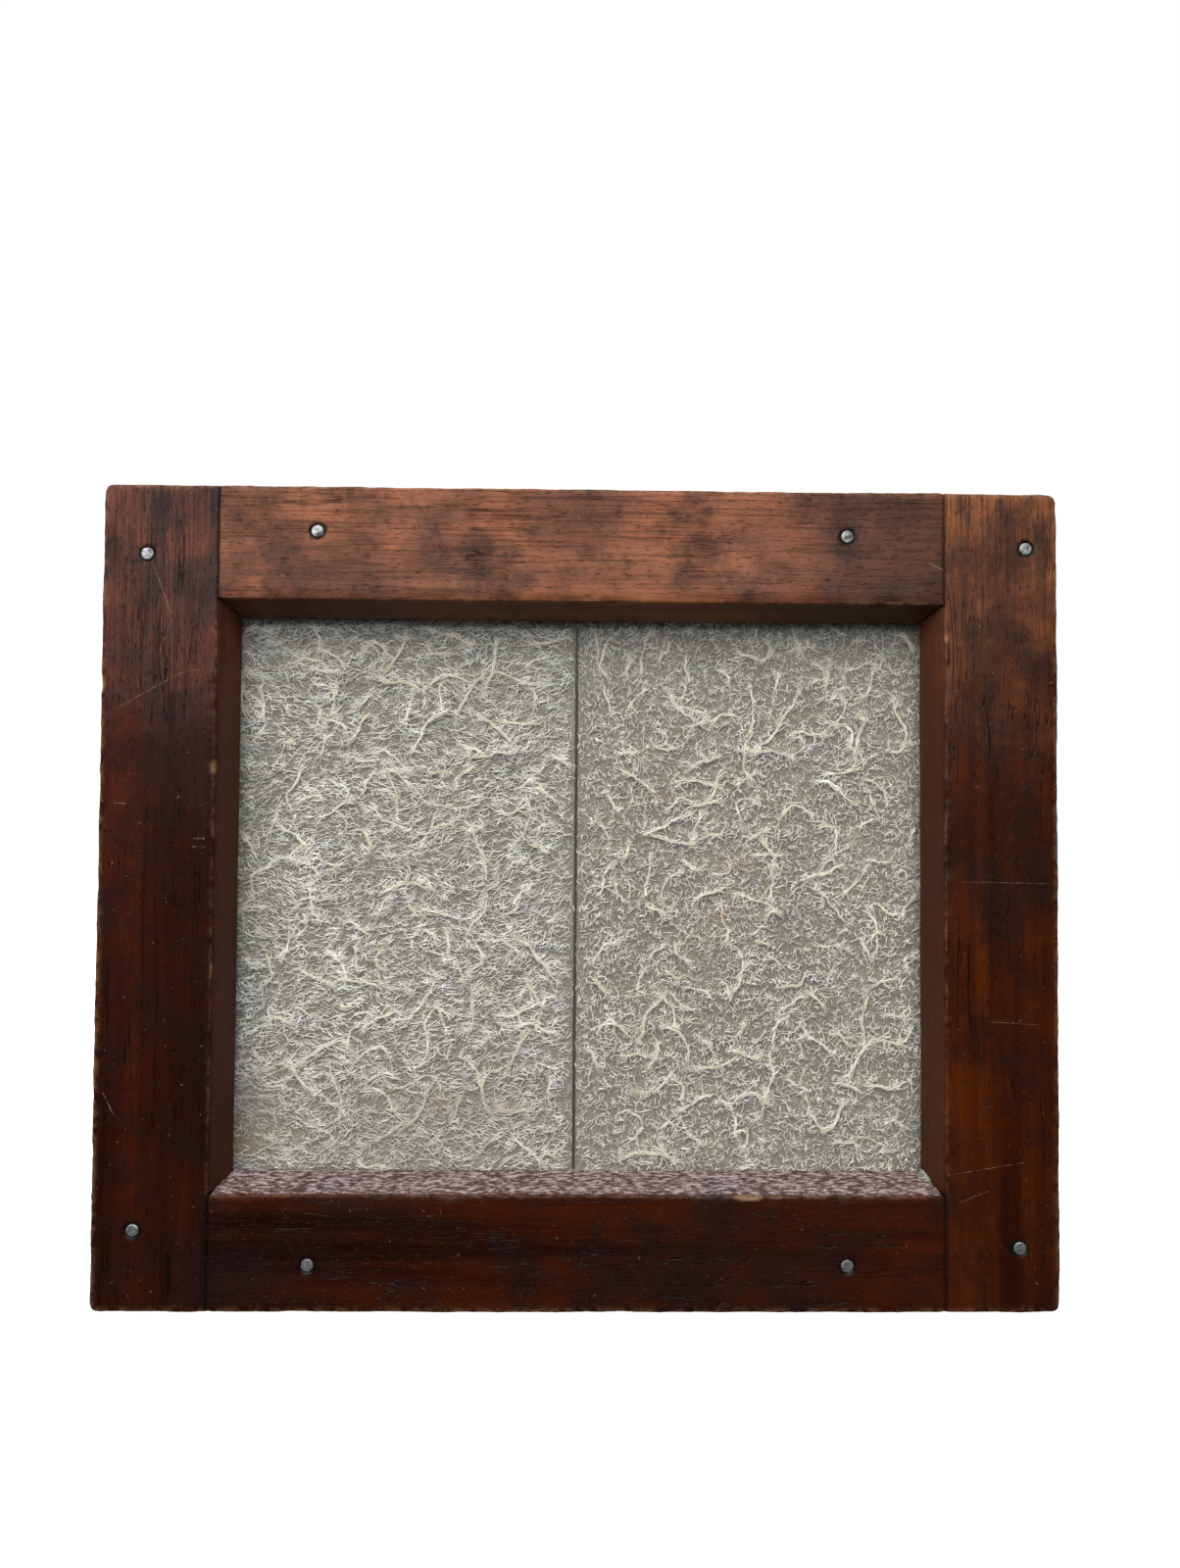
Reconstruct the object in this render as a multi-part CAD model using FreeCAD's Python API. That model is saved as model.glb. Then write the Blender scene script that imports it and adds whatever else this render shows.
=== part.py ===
import FreeCAD, Part
import math
import os

# Contact printing frame for 5 x 4 inch plates: a rebated wooden frame, a glass plate, and a
# two-leaf sprung back lined with napped cloth.
# Millimetres. The frame stands on its bottom rail: +X right seen from the front, +Y towards
# the back, +Z up. The origin is at the bottom centre of the whole object.

V = FreeCAD.Vector
UP = V(0, 0, 1)
BACKWARD = V(0, 1, 0)

# ---- wooden frame ----
FRAME_W = 165.0
FRAME_H = 141.0
FRAME_T = 22.0
FACE_W = 19.8          # front face of each member, outer edge to inner edge
LIP_T = 8.0            # front lip that the glass rests against
LIP_SLOPE = 2.2        # how far the inner edge slopes in from the front to the glass
RECESS_W = 128.6       # rebate behind the lip
RECESS_H = 103.2
TENON_T = 7.0          # open mortise and tenon at each corner, directly behind the lip
CORNER_R = 1.6         # worn outer corners
EDGE_R = 0.6           # eased outer arrises

# ---- fastenings ----
NAIL_HEAD_R = 1.1
NAIL_HEAD_T = 0.5
NAIL_SHANK_R = 0.7
NAIL_SEAT_R = 1.3      # crushed wood round a driven head
CORNER_NAIL_L = 19.0
# distance of each corner nail from the nearest side edge and the nearest top or bottom edge
CORNER_NAILS = {(-1, 1): (7.6, 12.2), (1, 1): (5.6, 9.8), (-1, -1): (7.2, 13.8), (1, -1): (7.1, 11.0)}

# ---- layers from the glass backwards ----
PLATE_W = 127.0
PLATE_H = 101.6
GLASS_T = 2.0
FELT_T = 1.95
BOARD_T = 5.0
BOARD_GAP = 0.7        # play round the back in its rebate
LEAF_SPLIT_X = -0.9    # the meeting line of the two leaves
LEAF_SPLIT_GAP = 0.5
FELT_INSET = 0.3
BOARD_EDGE_R = 0.4

# ---- springs ----
WASHER_T = 0.6
WASHER_R = 5.0
SPRING_T = 0.7
SPRING_W = 11.0
SPRING_L = 112.0       # tip to tip, longer than the rebate, so that the tips lie over the rails
SPRING_FLAT = 6.0      # half of the flat at the rivet
SPRING_TIP = 9.0       # level end, from inside the rebate to the tip under a catch
TIP_CLEARANCE = 0.1    # air between a tip and the rail below it
SPRING_TIP_R = 3.5
BOW_SHARE = 0.85       # share of the rise taken by the long bow, the rest by the turned end
RIVET_R = 1.25
RIVET_HEAD_R = 3.2
RIVET_HEAD_T = 0.9
RUNNING_GAP = 0.06

# ---- catches ----
CATCH_T = 1.0
CATCH_TONGUE_W = 11.0
CATCH_TONGUE_SETBACK = 0.5   # the tongue stops this far short of the rebate, clear of the back
CATCH_FOOT_H = 9.0           # the foot's inner edge is where the riser steps up
CATCH_CORNER_R = 1.4
CATCH_RIVET_X = 45.8
CATCH_RIVET_EDGE = 8.0
CATCH_RIVET_MARGIN = 4.0
DOME_R = 1.7
DOME_T = 0.5
BRAD_L = 8.0
BRAD_SHANK_R = 0.55
BRAD_HEAD_R = 1.15
BRAD_HEAD_T = 0.4

# ---- hinges ----
HINGE_OFFSET_Z = 30.0  # each hinge from the middle of the back
HINGE_H = 15.0
HINGE_REACH = 9.0
HINGE_PLATE_T = 0.8
KNUCKLE_R = 1.5
KNUCKLE_LIFT = 1.6     # hinge axis above the back of the boards
KNUCKLE_GAP = 0.3
PIN_R = 0.7
PIN_GAP = 0.05
SCREW_X = 5.6
SCREW_SPREAD = 8.6
SCREW_L = 4.0
SCREW_SHANK_R = 0.5
SCREW_HEAD_R = 1.1
SCREW_HEAD_T = 0.4

# ---- places worked out from the sizes above ----
TONGUE_FROM = FRAME_T + CATCH_T
TOTAL_T = TONGUE_FROM + CATCH_T
MID_Z = FRAME_H / 2
WALL_W = (FRAME_W - RECESS_W) / 2
WALL_H = (FRAME_H - RECESS_H) / 2
FELT_BACK = LIP_T + GLASS_T + 0.05 + FELT_T
BOARD_BACK = FELT_BACK + BOARD_T
SPRING_FROM = BOARD_BACK + WASHER_T
SPRING_RISE = FRAME_T + TIP_CLEARANCE - SPRING_FROM
HINGE_DEPTH = BOARD_BACK + KNUCKLE_LIFT


def y(depth):
    """Row-frame Y of a plane this far behind the front face."""
    return depth - TOTAL_T / 2


def slab(x0, x1, d0, d1, z0, z1):
    """A box between two sides, two depths and two heights."""
    return Part.makeBox(x1 - x0, d1 - d0, z1 - z0, V(x0, y(d0), z0))


def rod(radius, x, z, d0, d1):
    """A round bar along Y."""
    return Part.makeCylinder(radius, d1 - d0, V(x, y(d0), z), BACKWARD)


def edges_along(solid, direction):
    return [e for e in solid.Edges if abs(abs(e.tangentAt(e.FirstParameter).dot(direction)) - 1) < 1e-6]


def rounded_plate(x0, x1, d0, d1, z0, z1, radius):
    """A box whose four edges along Y are rounded."""
    plate = slab(x0, x1, d0, d1, z0, z1)
    return plate.makeFillet(radius, edges_along(plate, BACKWARD))


def domed_head(radius, height, x, z, depth):
    """A low dome that rises backwards from a plane, as on a peened rivet or a screw."""
    sphere_r = (radius ** 2 + height ** 2) / (2 * height)
    ball = Part.makeSphere(sphere_r, V(x, y(depth + height - sphere_r), z))
    return ball.common(rod(radius, x, z, depth, depth + height))


def nail(x, z, length):
    """A driven nail with a flat head just under the front face and a pointed end."""
    sink = 0.05
    point_l = 2.5
    head = rod(NAIL_HEAD_R, x, z, sink, sink + NAIL_HEAD_T)
    shank = rod(NAIL_SHANK_R, x, z, sink, length - point_l)
    point = Part.makeCone(NAIL_SHANK_R, 0.15, point_l, V(x, y(length - point_l), z), BACKWARD)
    return head.fuse([shank, point]).removeSplitter()


def nail_seat(x, z):
    return rod(NAIL_SEAT_R, x, z, 0, 0.4)


def corner_nails():
    nails = {}
    for (side, end), (from_side, from_end) in CORNER_NAILS.items():
        x = side * (FRAME_W / 2 - from_side)
        z = MID_Z + end * (FRAME_H / 2 - from_end)
        nails[side, end] = (x, z, nail(x, z, CORNER_NAIL_L))
    return nails


def board_span(side):
    """Left and right edge of one back board."""
    if side < 0:
        return -RECESS_W / 2 + BOARD_GAP, LEAF_SPLIT_X - LEAF_SPLIT_GAP / 2
    return LEAF_SPLIT_X + LEAF_SPLIT_GAP / 2, RECESS_W / 2 - BOARD_GAP


def spring_x(side):
    return sum(board_span(side)) / 2


def catch_z(end, from_edge):
    return MID_Z + end * (FRAME_H / 2 - from_edge)


def catch_rivet(side, end):
    """A long rivet from a nail head on the front face to a peened dome on the catch."""
    x = side * CATCH_RIVET_X
    z = catch_z(end, CATCH_RIVET_EDGE)
    back = TONGUE_FROM
    head = rod(NAIL_HEAD_R, x, z, 0.05, 0.05 + NAIL_HEAD_T)
    shank = rod(NAIL_SHANK_R, x, z, 0.05, back)
    return head.fuse([shank, domed_head(DOME_R, DOME_T, x, z, back)]).removeSplitter()


def catch_brad(side, end):
    x = spring_x(side)
    z = catch_z(end, CATCH_RIVET_EDGE)
    back = TONGUE_FROM
    shank = rod(BRAD_SHANK_R, x, z, back - BRAD_L, back)
    return shank.fuse(domed_head(BRAD_HEAD_R, BRAD_HEAD_T, x, z, back)).removeSplitter()


def catch_plate(side, end):
    """A stamped plate: a foot along the rail, and a raised tongue that a spring tip turns under."""
    mid = spring_x(side)
    half = CATCH_TONGUE_W / 2
    rivet_end = side * (CATCH_RIVET_X + CATCH_RIVET_MARGIN)
    inner = mid - side * half
    riser_edge = CATCH_RIVET_EDGE + CATCH_FOOT_H / 2
    z_outer = catch_z(end, riser_edge - CATCH_FOOT_H)
    z_riser = catch_z(end, riser_edge)
    z_step = catch_z(end, riser_edge + CATCH_T)
    z_tip = catch_z(end, WALL_H - CATCH_TONGUE_SETBACK)
    foot = slab(*sorted((inner, rivet_end)), FRAME_T, TONGUE_FROM, *sorted((z_outer, z_riser)))
    under_riser = V(inner, 0, z_riser)
    free = [e for e in edges_along(foot, BACKWARD)
            if math.hypot(e.CenterOfMass.x - under_riser.x, e.CenterOfMass.z - under_riser.z) > 1e-6]
    foot = foot.makeFillet(CATCH_CORNER_R, free)
    riser = slab(mid - half, mid + half, FRAME_T, TOTAL_T, *sorted((z_riser, z_step)))
    tongue = slab(mid - half, mid + half, TONGUE_FROM, TOTAL_T, *sorted((z_riser, z_tip)))
    tip = [e for e in edges_along(tongue, BACKWARD) if abs(e.CenterOfMass.z - z_tip) < 1e-6]
    return foot.fuse([riser, tongue.makeFillet(CATCH_CORNER_R, tip)]).removeSplitter()


def frame_blank():
    """The outline of the whole frame with its worn corners and eased arrises."""
    block = slab(-FRAME_W / 2, FRAME_W / 2, 0, FRAME_T, 0, FRAME_H)
    block = block.makeFillet(CORNER_R, edges_along(block, BACKWARD))
    rim = [e for e in block.Edges if abs(e.BoundBox.YLength) < 1e-6]
    return block.makeFillet(EDGE_R, rim)


def member_section(outer, inwards, wall, place):
    """Section of a stile or rail: outer edge, sloped lip, rebate wall. place(across, depth) gives a point."""
    outline = [
        (outer, 0),
        (outer + inwards * FACE_W, 0),
        (outer + inwards * (FACE_W + LIP_SLOPE), LIP_T),
        (outer + inwards * wall, LIP_T),
        (outer + inwards * wall, FRAME_T),
        (outer, FRAME_T),
    ]
    points = [place(across, depth) for across, depth in outline]
    return Part.Face(Part.makePolygon(points + points[:1]))


def stile(side):
    """A full-height side member with an open mortise at each end."""
    edge = side * FRAME_W / 2
    section = member_section(edge, -side, WALL_W, lambda across, depth: V(across, y(depth), 0))
    body = section.extrude(UP * FRAME_H).common(frame_blank())
    x0, x1 = sorted((edge, edge - side * WALL_W))
    mortises = [
        slab(x0, x1, LIP_T, LIP_T + TENON_T, 0, WALL_H),
        slab(x0, x1, LIP_T, LIP_T + TENON_T, FRAME_H - WALL_H, FRAME_H),
    ]
    return body.cut(mortises)


def rail(end, stiles):
    """A top or bottom member, cut to fit round the stiles, with a tenon at each end."""
    edge = MID_Z + end * FRAME_H / 2
    section = member_section(edge, -end, WALL_H, lambda across, depth: V(-FRAME_W / 2, y(depth), across))
    return section.extrude(V(FRAME_W, 0, 0)).common(frame_blank()).cut(stiles)


def wooden_frame(nails, rivets, brads):
    """The four members with the holes that their nails, rivets and brads fill."""
    stiles = {side: stile(side) for side in (-1, 1)}
    rails = {end: rail(end, list(stiles.values())) for end in (-1, 1)}
    seats = [nail_seat(x, z) for x, z, _ in nails.values()]
    seats += [nail_seat(s * CATCH_RIVET_X, catch_z(e, CATCH_RIVET_EDGE)) for s, e in rivets]
    tools = seats + [n for _, _, n in nails.values()] + list(rivets.values()) + list(brads.values())
    named = {
        "left_stile": stiles[-1],
        "right_stile": stiles[1],
        "bottom_rail": rails[-1],
        "top_rail": rails[1],
    }
    return {name: wood.cut(tools).removeSplitter() for name, wood in named.items()}


def glass():
    z0 = WALL_H + 0.1
    pane = slab(-PLATE_W / 2, PLATE_W / 2, LIP_T, LIP_T + GLASS_T, z0, z0 + PLATE_H)
    return pane


def back_board(side, cutters):
    x0, x1 = board_span(side)
    board = slab(x0, x1, FELT_BACK, BOARD_BACK, WALL_H + BOARD_GAP, FRAME_H - WALL_H - BOARD_GAP)
    rim = [e for e in board.Edges if e.BoundBox.YMin > y(BOARD_BACK) - 1e-6]
    return board.makeFillet(BOARD_EDGE_R, rim).cut(cutters)


def felt(side, rivet):
    x0, x1 = board_span(side)
    outer = FELT_INSET if side < 0 else 0.05
    inner = 0.05 if side < 0 else FELT_INSET
    z0 = WALL_H + BOARD_GAP + FELT_INSET
    pad = slab(x0 + outer, x1 - inner, FELT_BACK - FELT_T, FELT_BACK, z0, FRAME_H - z0)
    return pad.cut(rivet)


def spring_rivet(side):
    """The rivet that a spring turns on, clenched over the front of its board under the cloth."""
    x = spring_x(side)
    top = SPRING_FROM + SPRING_T + RUNNING_GAP
    burr_t = 0.5
    shank = rod(RIVET_R, x, MID_Z, FELT_BACK - burr_t, top)
    burr = rod(2.4, x, MID_Z, FELT_BACK - burr_t, FELT_BACK)
    head = domed_head(RIVET_HEAD_R, RIVET_HEAD_T, x, MID_Z, top)
    return shank.fuse([burr, head]).removeSplitter()


def spring_washer(side):
    x = spring_x(side)
    ring = rod(WASHER_R, x, MID_Z, BOARD_BACK, BOARD_BACK + WASHER_T - RUNNING_GAP)
    return ring.cut(rod(RIVET_R + RUNNING_GAP, x, MID_Z, BOARD_BACK - 1, BOARD_BACK + 2))


def bow_curve(lift):
    """One side of the bow, from the rivet to the tip, as (distance along, depth) edges at a height in the strip."""
    run = SPRING_L / 2 - SPRING_FLAT - SPRING_TIP
    turn = 2 * math.atan(SPRING_RISE / run)
    both = run / math.sin(turn)
    bow_r = both * BOW_SHARE
    end_r = both - bow_r
    bow_centre = (SPRING_FLAT, SPRING_FROM + bow_r)
    meet = (SPRING_FLAT + bow_r * math.sin(turn), SPRING_FROM + bow_r * (1 - math.cos(turn)))
    end_centre = (meet[0] + end_r * math.sin(turn), meet[1] - end_r * math.cos(turn))

    def on_bow(angle):
        return bow_centre[0] + (bow_r - lift) * math.sin(angle), bow_centre[1] - (bow_r - lift) * math.cos(angle)

    def on_end(angle):
        return end_centre[0] - (end_r + lift) * math.sin(angle), end_centre[1] + (end_r + lift) * math.cos(angle)

    tip = (SPRING_L / 2, SPRING_FROM + SPRING_RISE + lift)
    return {
        "flat": [(0, SPRING_FROM + lift), on_bow(0)],
        "bow": [on_bow(0), on_bow(turn / 2), on_bow(turn)],
        "end": [on_end(turn), on_end(turn / 2), on_end(0)],
        "tip": [on_end(0), tip],
    }


def bow_spring(side):
    """A flat steel strip bowed away from the board, pinned at its middle, with its tips turned level."""
    x = spring_x(side)

    def at(point, sign):
        return V(x - SPRING_W / 2, y(point[1]), MID_Z + sign * point[0])

    edges = []
    for lift in (0, SPRING_T):
        curve = bow_curve(lift)
        for sign in (-1, 1):
            edges.append(Part.LineSegment(at(curve["flat"][0], sign), at(curve["flat"][1], sign)).toShape())
            edges.append(Part.Arc(*[at(p, sign) for p in curve["bow"]]).toShape())
            edges.append(Part.Arc(*[at(p, sign) for p in curve["end"]]).toShape())
            edges.append(Part.LineSegment(at(curve["tip"][0], sign), at(curve["tip"][1], sign)).toShape())
    for sign in (-1, 1):
        ends = [at(bow_curve(lift)["tip"][1], sign) for lift in (0, SPRING_T)]
        edges.append(Part.LineSegment(*ends).toShape())
    outline = Part.Wire(Part.__sortEdges__(edges))
    strip = Part.Face(outline).extrude(V(SPRING_W, 0, 0))
    half_w, half_l = SPRING_W / 2, SPRING_L / 2
    plan = rounded_plate(x - half_w, x + half_w, 0, TOTAL_T, MID_Z - half_l, MID_Z + half_l, SPRING_TIP_R)
    return strip.common(plan).cut(rod(RIVET_R + RUNNING_GAP, x, MID_Z, 0, TOTAL_T))


def hinge_mid(end):
    return MID_Z + end * HINGE_OFFSET_Z


def upright(radius, z0, z1):
    """A round bar along the hinge line."""
    return Part.makeCylinder(radius, z1 - z0, V(LEAF_SPLIT_X, y(HINGE_DEPTH), z0), UP)


def knuckle_spans(end, side):
    """Heights of this plate's knuckles: two outer ones on the left plate, the middle one on the right."""
    base = hinge_mid(end) - HINGE_H / 2
    each = (HINGE_H - 2 * KNUCKLE_GAP) / 3
    starts = [base, base + 2 * (each + KNUCKLE_GAP)] if side < 0 else [base + each + KNUCKLE_GAP]
    return [(start, start + each) for start in starts]


def hinge_plate(side, end, screws):
    """Half of a butt hinge, laid on the back of its board, with its knuckles round the pin."""
    base, top = hinge_mid(end) - HINGE_H / 2, hinge_mid(end) + HINGE_H / 2
    near = LEAF_SPLIT_X + side * (KNUCKLE_R + 0.4)
    far = LEAF_SPLIT_X + side * HINGE_REACH
    x0, x1 = sorted((near, far))
    plate = slab(x0, x1, BOARD_BACK, BOARD_BACK + HINGE_PLATE_T, base, top)
    outer = [e for e in edges_along(plate, BACKWARD) if abs(e.CenterOfMass.x - far) < 1e-6]
    plate = plate.makeFillet(1.2, outer)
    for z0, z1 in knuckle_spans(end, side):
        a, b = sorted((LEAF_SPLIT_X, near))
        tab = slab(a, b, BOARD_BACK + 0.1, BOARD_BACK + HINGE_PLATE_T, z0, z1)
        plate = plate.fuse([tab, upright(KNUCKLE_R, z0, z1)])
    plate = plate.cut(upright(PIN_R + PIN_GAP, base - 1, top + 1)).removeSplitter()
    return plate.cut(screws)


def hinge_screws(side, end):
    x = LEAF_SPLIT_X + side * SCREW_X
    back = BOARD_BACK + HINGE_PLATE_T
    screws = []
    for s in (-1, 1):
        z = hinge_mid(end) + s * SCREW_SPREAD / 2
        shank = rod(SCREW_SHANK_R, x, z, back - SCREW_L, back)
        screws.append(shank.fuse(domed_head(SCREW_HEAD_R, SCREW_HEAD_T, x, z, back)).removeSplitter())
    return screws


def hinge_pin(end):
    half = HINGE_H / 2
    return upright(PIN_R, hinge_mid(end) - half, hinge_mid(end) + half)


def leaf(side, word):
    """One half of the back: board, cloth lining, washer, rivet, hinge plates and their screws."""
    rivet = spring_rivet(side)
    screws = {end: hinge_screws(side, end) for end in (-1, 1)}
    all_screws = screws[-1] + screws[1]
    return {
        f"{word}_back_board": back_board(side, [rivet] + all_screws),
        f"{word}_felt": felt(side, rivet),
        f"{word}_spring_rivet": rivet,
        f"{word}_spring_washer": spring_washer(side),
        f"{word}_bow_spring": bow_spring(side),
        f"{word}_upper_hinge_plate": hinge_plate(side, 1, screws[1]),
        f"{word}_lower_hinge_plate": hinge_plate(side, -1, screws[-1]),
        f"{word}_hinge_screws": Part.makeCompound(all_screws),
    }


def assembly():
    nails = corner_nails()
    places = [(side, end) for side in (-1, 1) for end in (-1, 1)]
    rivets = {place: catch_rivet(*place) for place in places}
    brads = {place: catch_brad(*place) for place in places}
    parts = wooden_frame(nails, rivets, brads)
    parts["corner_nails"] = Part.makeCompound([n for _, _, n in nails.values()])
    parts["catch_rivets"] = Part.makeCompound(list(rivets.values()))
    parts["catch_brads"] = Part.makeCompound(list(brads.values()))
    for side, end in places:
        name = f"{'left' if side < 0 else 'right'}_{'lower' if end < 0 else 'upper'}_catch"
        parts[name] = catch_plate(side, end).cut([rivets[side, end], brads[side, end]])
    parts["glass"] = glass()
    for side, word in ((-1, "left"), (1, "right")):
        parts.update(leaf(side, word))
    parts["upper_hinge_pin"] = hinge_pin(1)
    parts["lower_hinge_pin"] = hinge_pin(-1)
    return parts


os.makedirs("parts", exist_ok=True)
for name, shape in assembly().items():
    shape.exportStep(f"parts/{name}.step")
    print(f"{name:26s} solids {len(shape.Solids)}  {shape.Volume / 1000:8.3f} cm3  valid {shape.isValid()}")
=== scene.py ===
# %% [markdown]
# # A contact printing frame for 5 by 4 inch plates
#
# The real object is a small dark hardwood frame. A glass plate lies in its rebate, and behind the glass a
# two-leaf back, lined with long-napped cotton cloth, is pressed shut by two bow springs. The design is fixed
# already, so this lesson only gives each piece its final shape and finish. First the finished design is loaded,
# and its size is kept, because nothing made here may change it.

# %% Load the design
import math

import bpy
import numpy as np
from mathutils import Matrix, Vector, noise


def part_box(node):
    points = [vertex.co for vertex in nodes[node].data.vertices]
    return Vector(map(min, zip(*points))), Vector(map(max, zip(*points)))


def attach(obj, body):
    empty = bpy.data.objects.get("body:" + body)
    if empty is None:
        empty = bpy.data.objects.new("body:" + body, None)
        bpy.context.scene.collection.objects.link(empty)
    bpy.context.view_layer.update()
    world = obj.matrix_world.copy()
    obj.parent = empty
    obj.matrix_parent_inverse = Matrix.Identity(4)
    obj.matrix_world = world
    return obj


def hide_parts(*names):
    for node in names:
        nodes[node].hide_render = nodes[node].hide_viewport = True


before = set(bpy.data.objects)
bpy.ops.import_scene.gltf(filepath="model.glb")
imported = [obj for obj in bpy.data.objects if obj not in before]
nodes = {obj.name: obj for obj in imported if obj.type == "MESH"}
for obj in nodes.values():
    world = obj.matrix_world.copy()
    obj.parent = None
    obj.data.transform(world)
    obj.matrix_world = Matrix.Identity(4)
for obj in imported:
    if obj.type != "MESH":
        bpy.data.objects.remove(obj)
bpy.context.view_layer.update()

MM = 0.001
print("pieces in the design:", len(nodes))

# %% [markdown]
# ## Places worked out from the design
#
# Every later step asks where something is: the front face, the window, the rebate, the layers behind the glass.
# They could be typed in as numbers, but then they could disagree with the design. Reading them from the boxes of
# the design's own pieces keeps one truth. Only what no box can give, such as how far the lip slopes, is a number.

# %% Places and sizes
FACE = 19.8 * MM        # width of each member at the front
LIP_DEPTH = 8.0 * MM    # thickness of the lip round the window
LIP_SLOPE = 2.2 * MM    # how far the lip slopes in towards the glass
WALL = 18.2 * MM        # width of a stile behind the lip
RAIL_WALL = 18.9 * MM   # the same for a rail

stile_low, stile_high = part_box("left_stile")
HALF_WIDTH = -stile_low.x
TOP = stile_high.z
FRONT = stile_low.y
BACK = stile_high.y
MIDDLE = TOP / 2
WINDOW_X = HALF_WIDTH - FACE
WINDOW_LOW, WINDOW_HIGH = FACE, TOP - FACE
glass_low, glass_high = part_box("glass")
print("front face at", round(FRONT / MM, 2),
      "glass from", round(glass_low.y / MM, 2), "to", round(glass_high.y / MM, 2))

# %% [markdown]
# ## A tidy bench
#
# Blender's operators act on whatever is selected, and the design arrives with all of its pieces selected. So
# each step starts with a cleared bench, and picks up only the piece that it works on. Modifiers are applied the
# same way, one after another, so that each finished piece is plain mesh with its place in its own points.

# %% Bench helpers
def clear_bench():
    if bpy.context.object and bpy.context.object.mode != "OBJECT":
        bpy.ops.object.mode_set(mode="OBJECT")
    bpy.ops.object.select_all(action="DESELECT")


def pick_up(piece):
    clear_bench()
    piece.select_set(True)
    bpy.context.view_layer.objects.active = piece


def in_edit_mode(piece, work):
    """Opens a piece with all of it selected, does the work, and closes it again."""
    pick_up(piece)
    bpy.ops.object.mode_set(mode="EDIT")
    bpy.ops.mesh.select_mode(type="VERT")
    bpy.ops.mesh.select_all(action="SELECT")
    work()
    bpy.ops.object.mode_set(mode="OBJECT")


def add_modifier(piece, kind, **settings):
    modifier = piece.modifiers.new(kind.lower(), kind)
    for key, value in settings.items():
        setattr(modifier, key, value)
    return modifier


def apply_modifiers(piece):
    pick_up(piece)
    for name in [m.name for m in piece.modifiers]:
        bpy.ops.object.modifier_apply(modifier=name)


def put_in_place(piece):
    """Moves a piece's place, turn and scale into its mesh."""
    pick_up(piece)
    bpy.ops.object.transform_apply(location=True, rotation=True, scale=True)


def join_up(pieces, name):
    clear_bench()
    for piece in pieces:
        piece.select_set(True)
    bpy.context.view_layer.objects.active = pieces[0]
    bpy.ops.object.join()
    joined = bpy.context.object
    joined.name = name
    joined.data.name = name
    return joined


def smooth(piece, angle=35):
    pick_up(piece)
    bpy.ops.object.shade_smooth_by_angle(angle=math.radians(angle))


def triangles(piece):
    return sum(len(p.vertices) - 2 for p in piece.data.polygons)


def points_of(piece):
    found = np.empty(len(piece.data.vertices) * 3)
    piece.data.vertices.foreach_get("co", found)
    return found.reshape(-1, 3)


def set_points(piece, points):
    piece.data.vertices.foreach_set("co", points.ravel())
    piece.data.update()


def paint_points(piece, name, values):
    """Stores one number a point on a piece, for its finish to read."""
    layer = piece.data.attributes.new(name, "FLOAT", "POINT")
    layer.data.foreach_set("value", np.clip(values, 0, 1).astype(np.float32))


clear_bench()
print("bench is clear")

# %% [markdown]
# ## Starting from a copy of the design
#
# A wooden member or a hinge plate in the design has the right shape already, but its arrises are as sharp as a
# drawing. It could be rebuilt from a cube, but a copy of the design's piece is exact and costs nothing. The
# design's mesh is loose triangles, so a copy is merged first, and its flat faces are dissolved back to whole
# faces so that a bevel or a remesh sees clean edges.

# %% Copy a piece of the design
def working_copy(node, name):
    piece = bpy.data.objects.new(name, nodes[node].data.copy())
    piece.data.name = name
    piece.data.materials.clear()
    bpy.context.collection.objects.link(piece)

    def merge_and_clean():
        bpy.ops.mesh.remove_doubles(threshold=0.002 * MM)
        bpy.ops.mesh.dissolve_limited(angle_limit=math.radians(0.5))

    in_edit_mode(piece, merge_and_clean)
    return piece


# %% [markdown]
# ## Building finishes
#
# A finish is a network of shader nodes. Written out one by one it hides its own idea, so a small helper adds a
# node, sets its values and links its inputs in one call. Patterns read Object coordinates, which are metres in
# the frame's own space: a scale of 1000 is a pattern about a millimetre wide.

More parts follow.
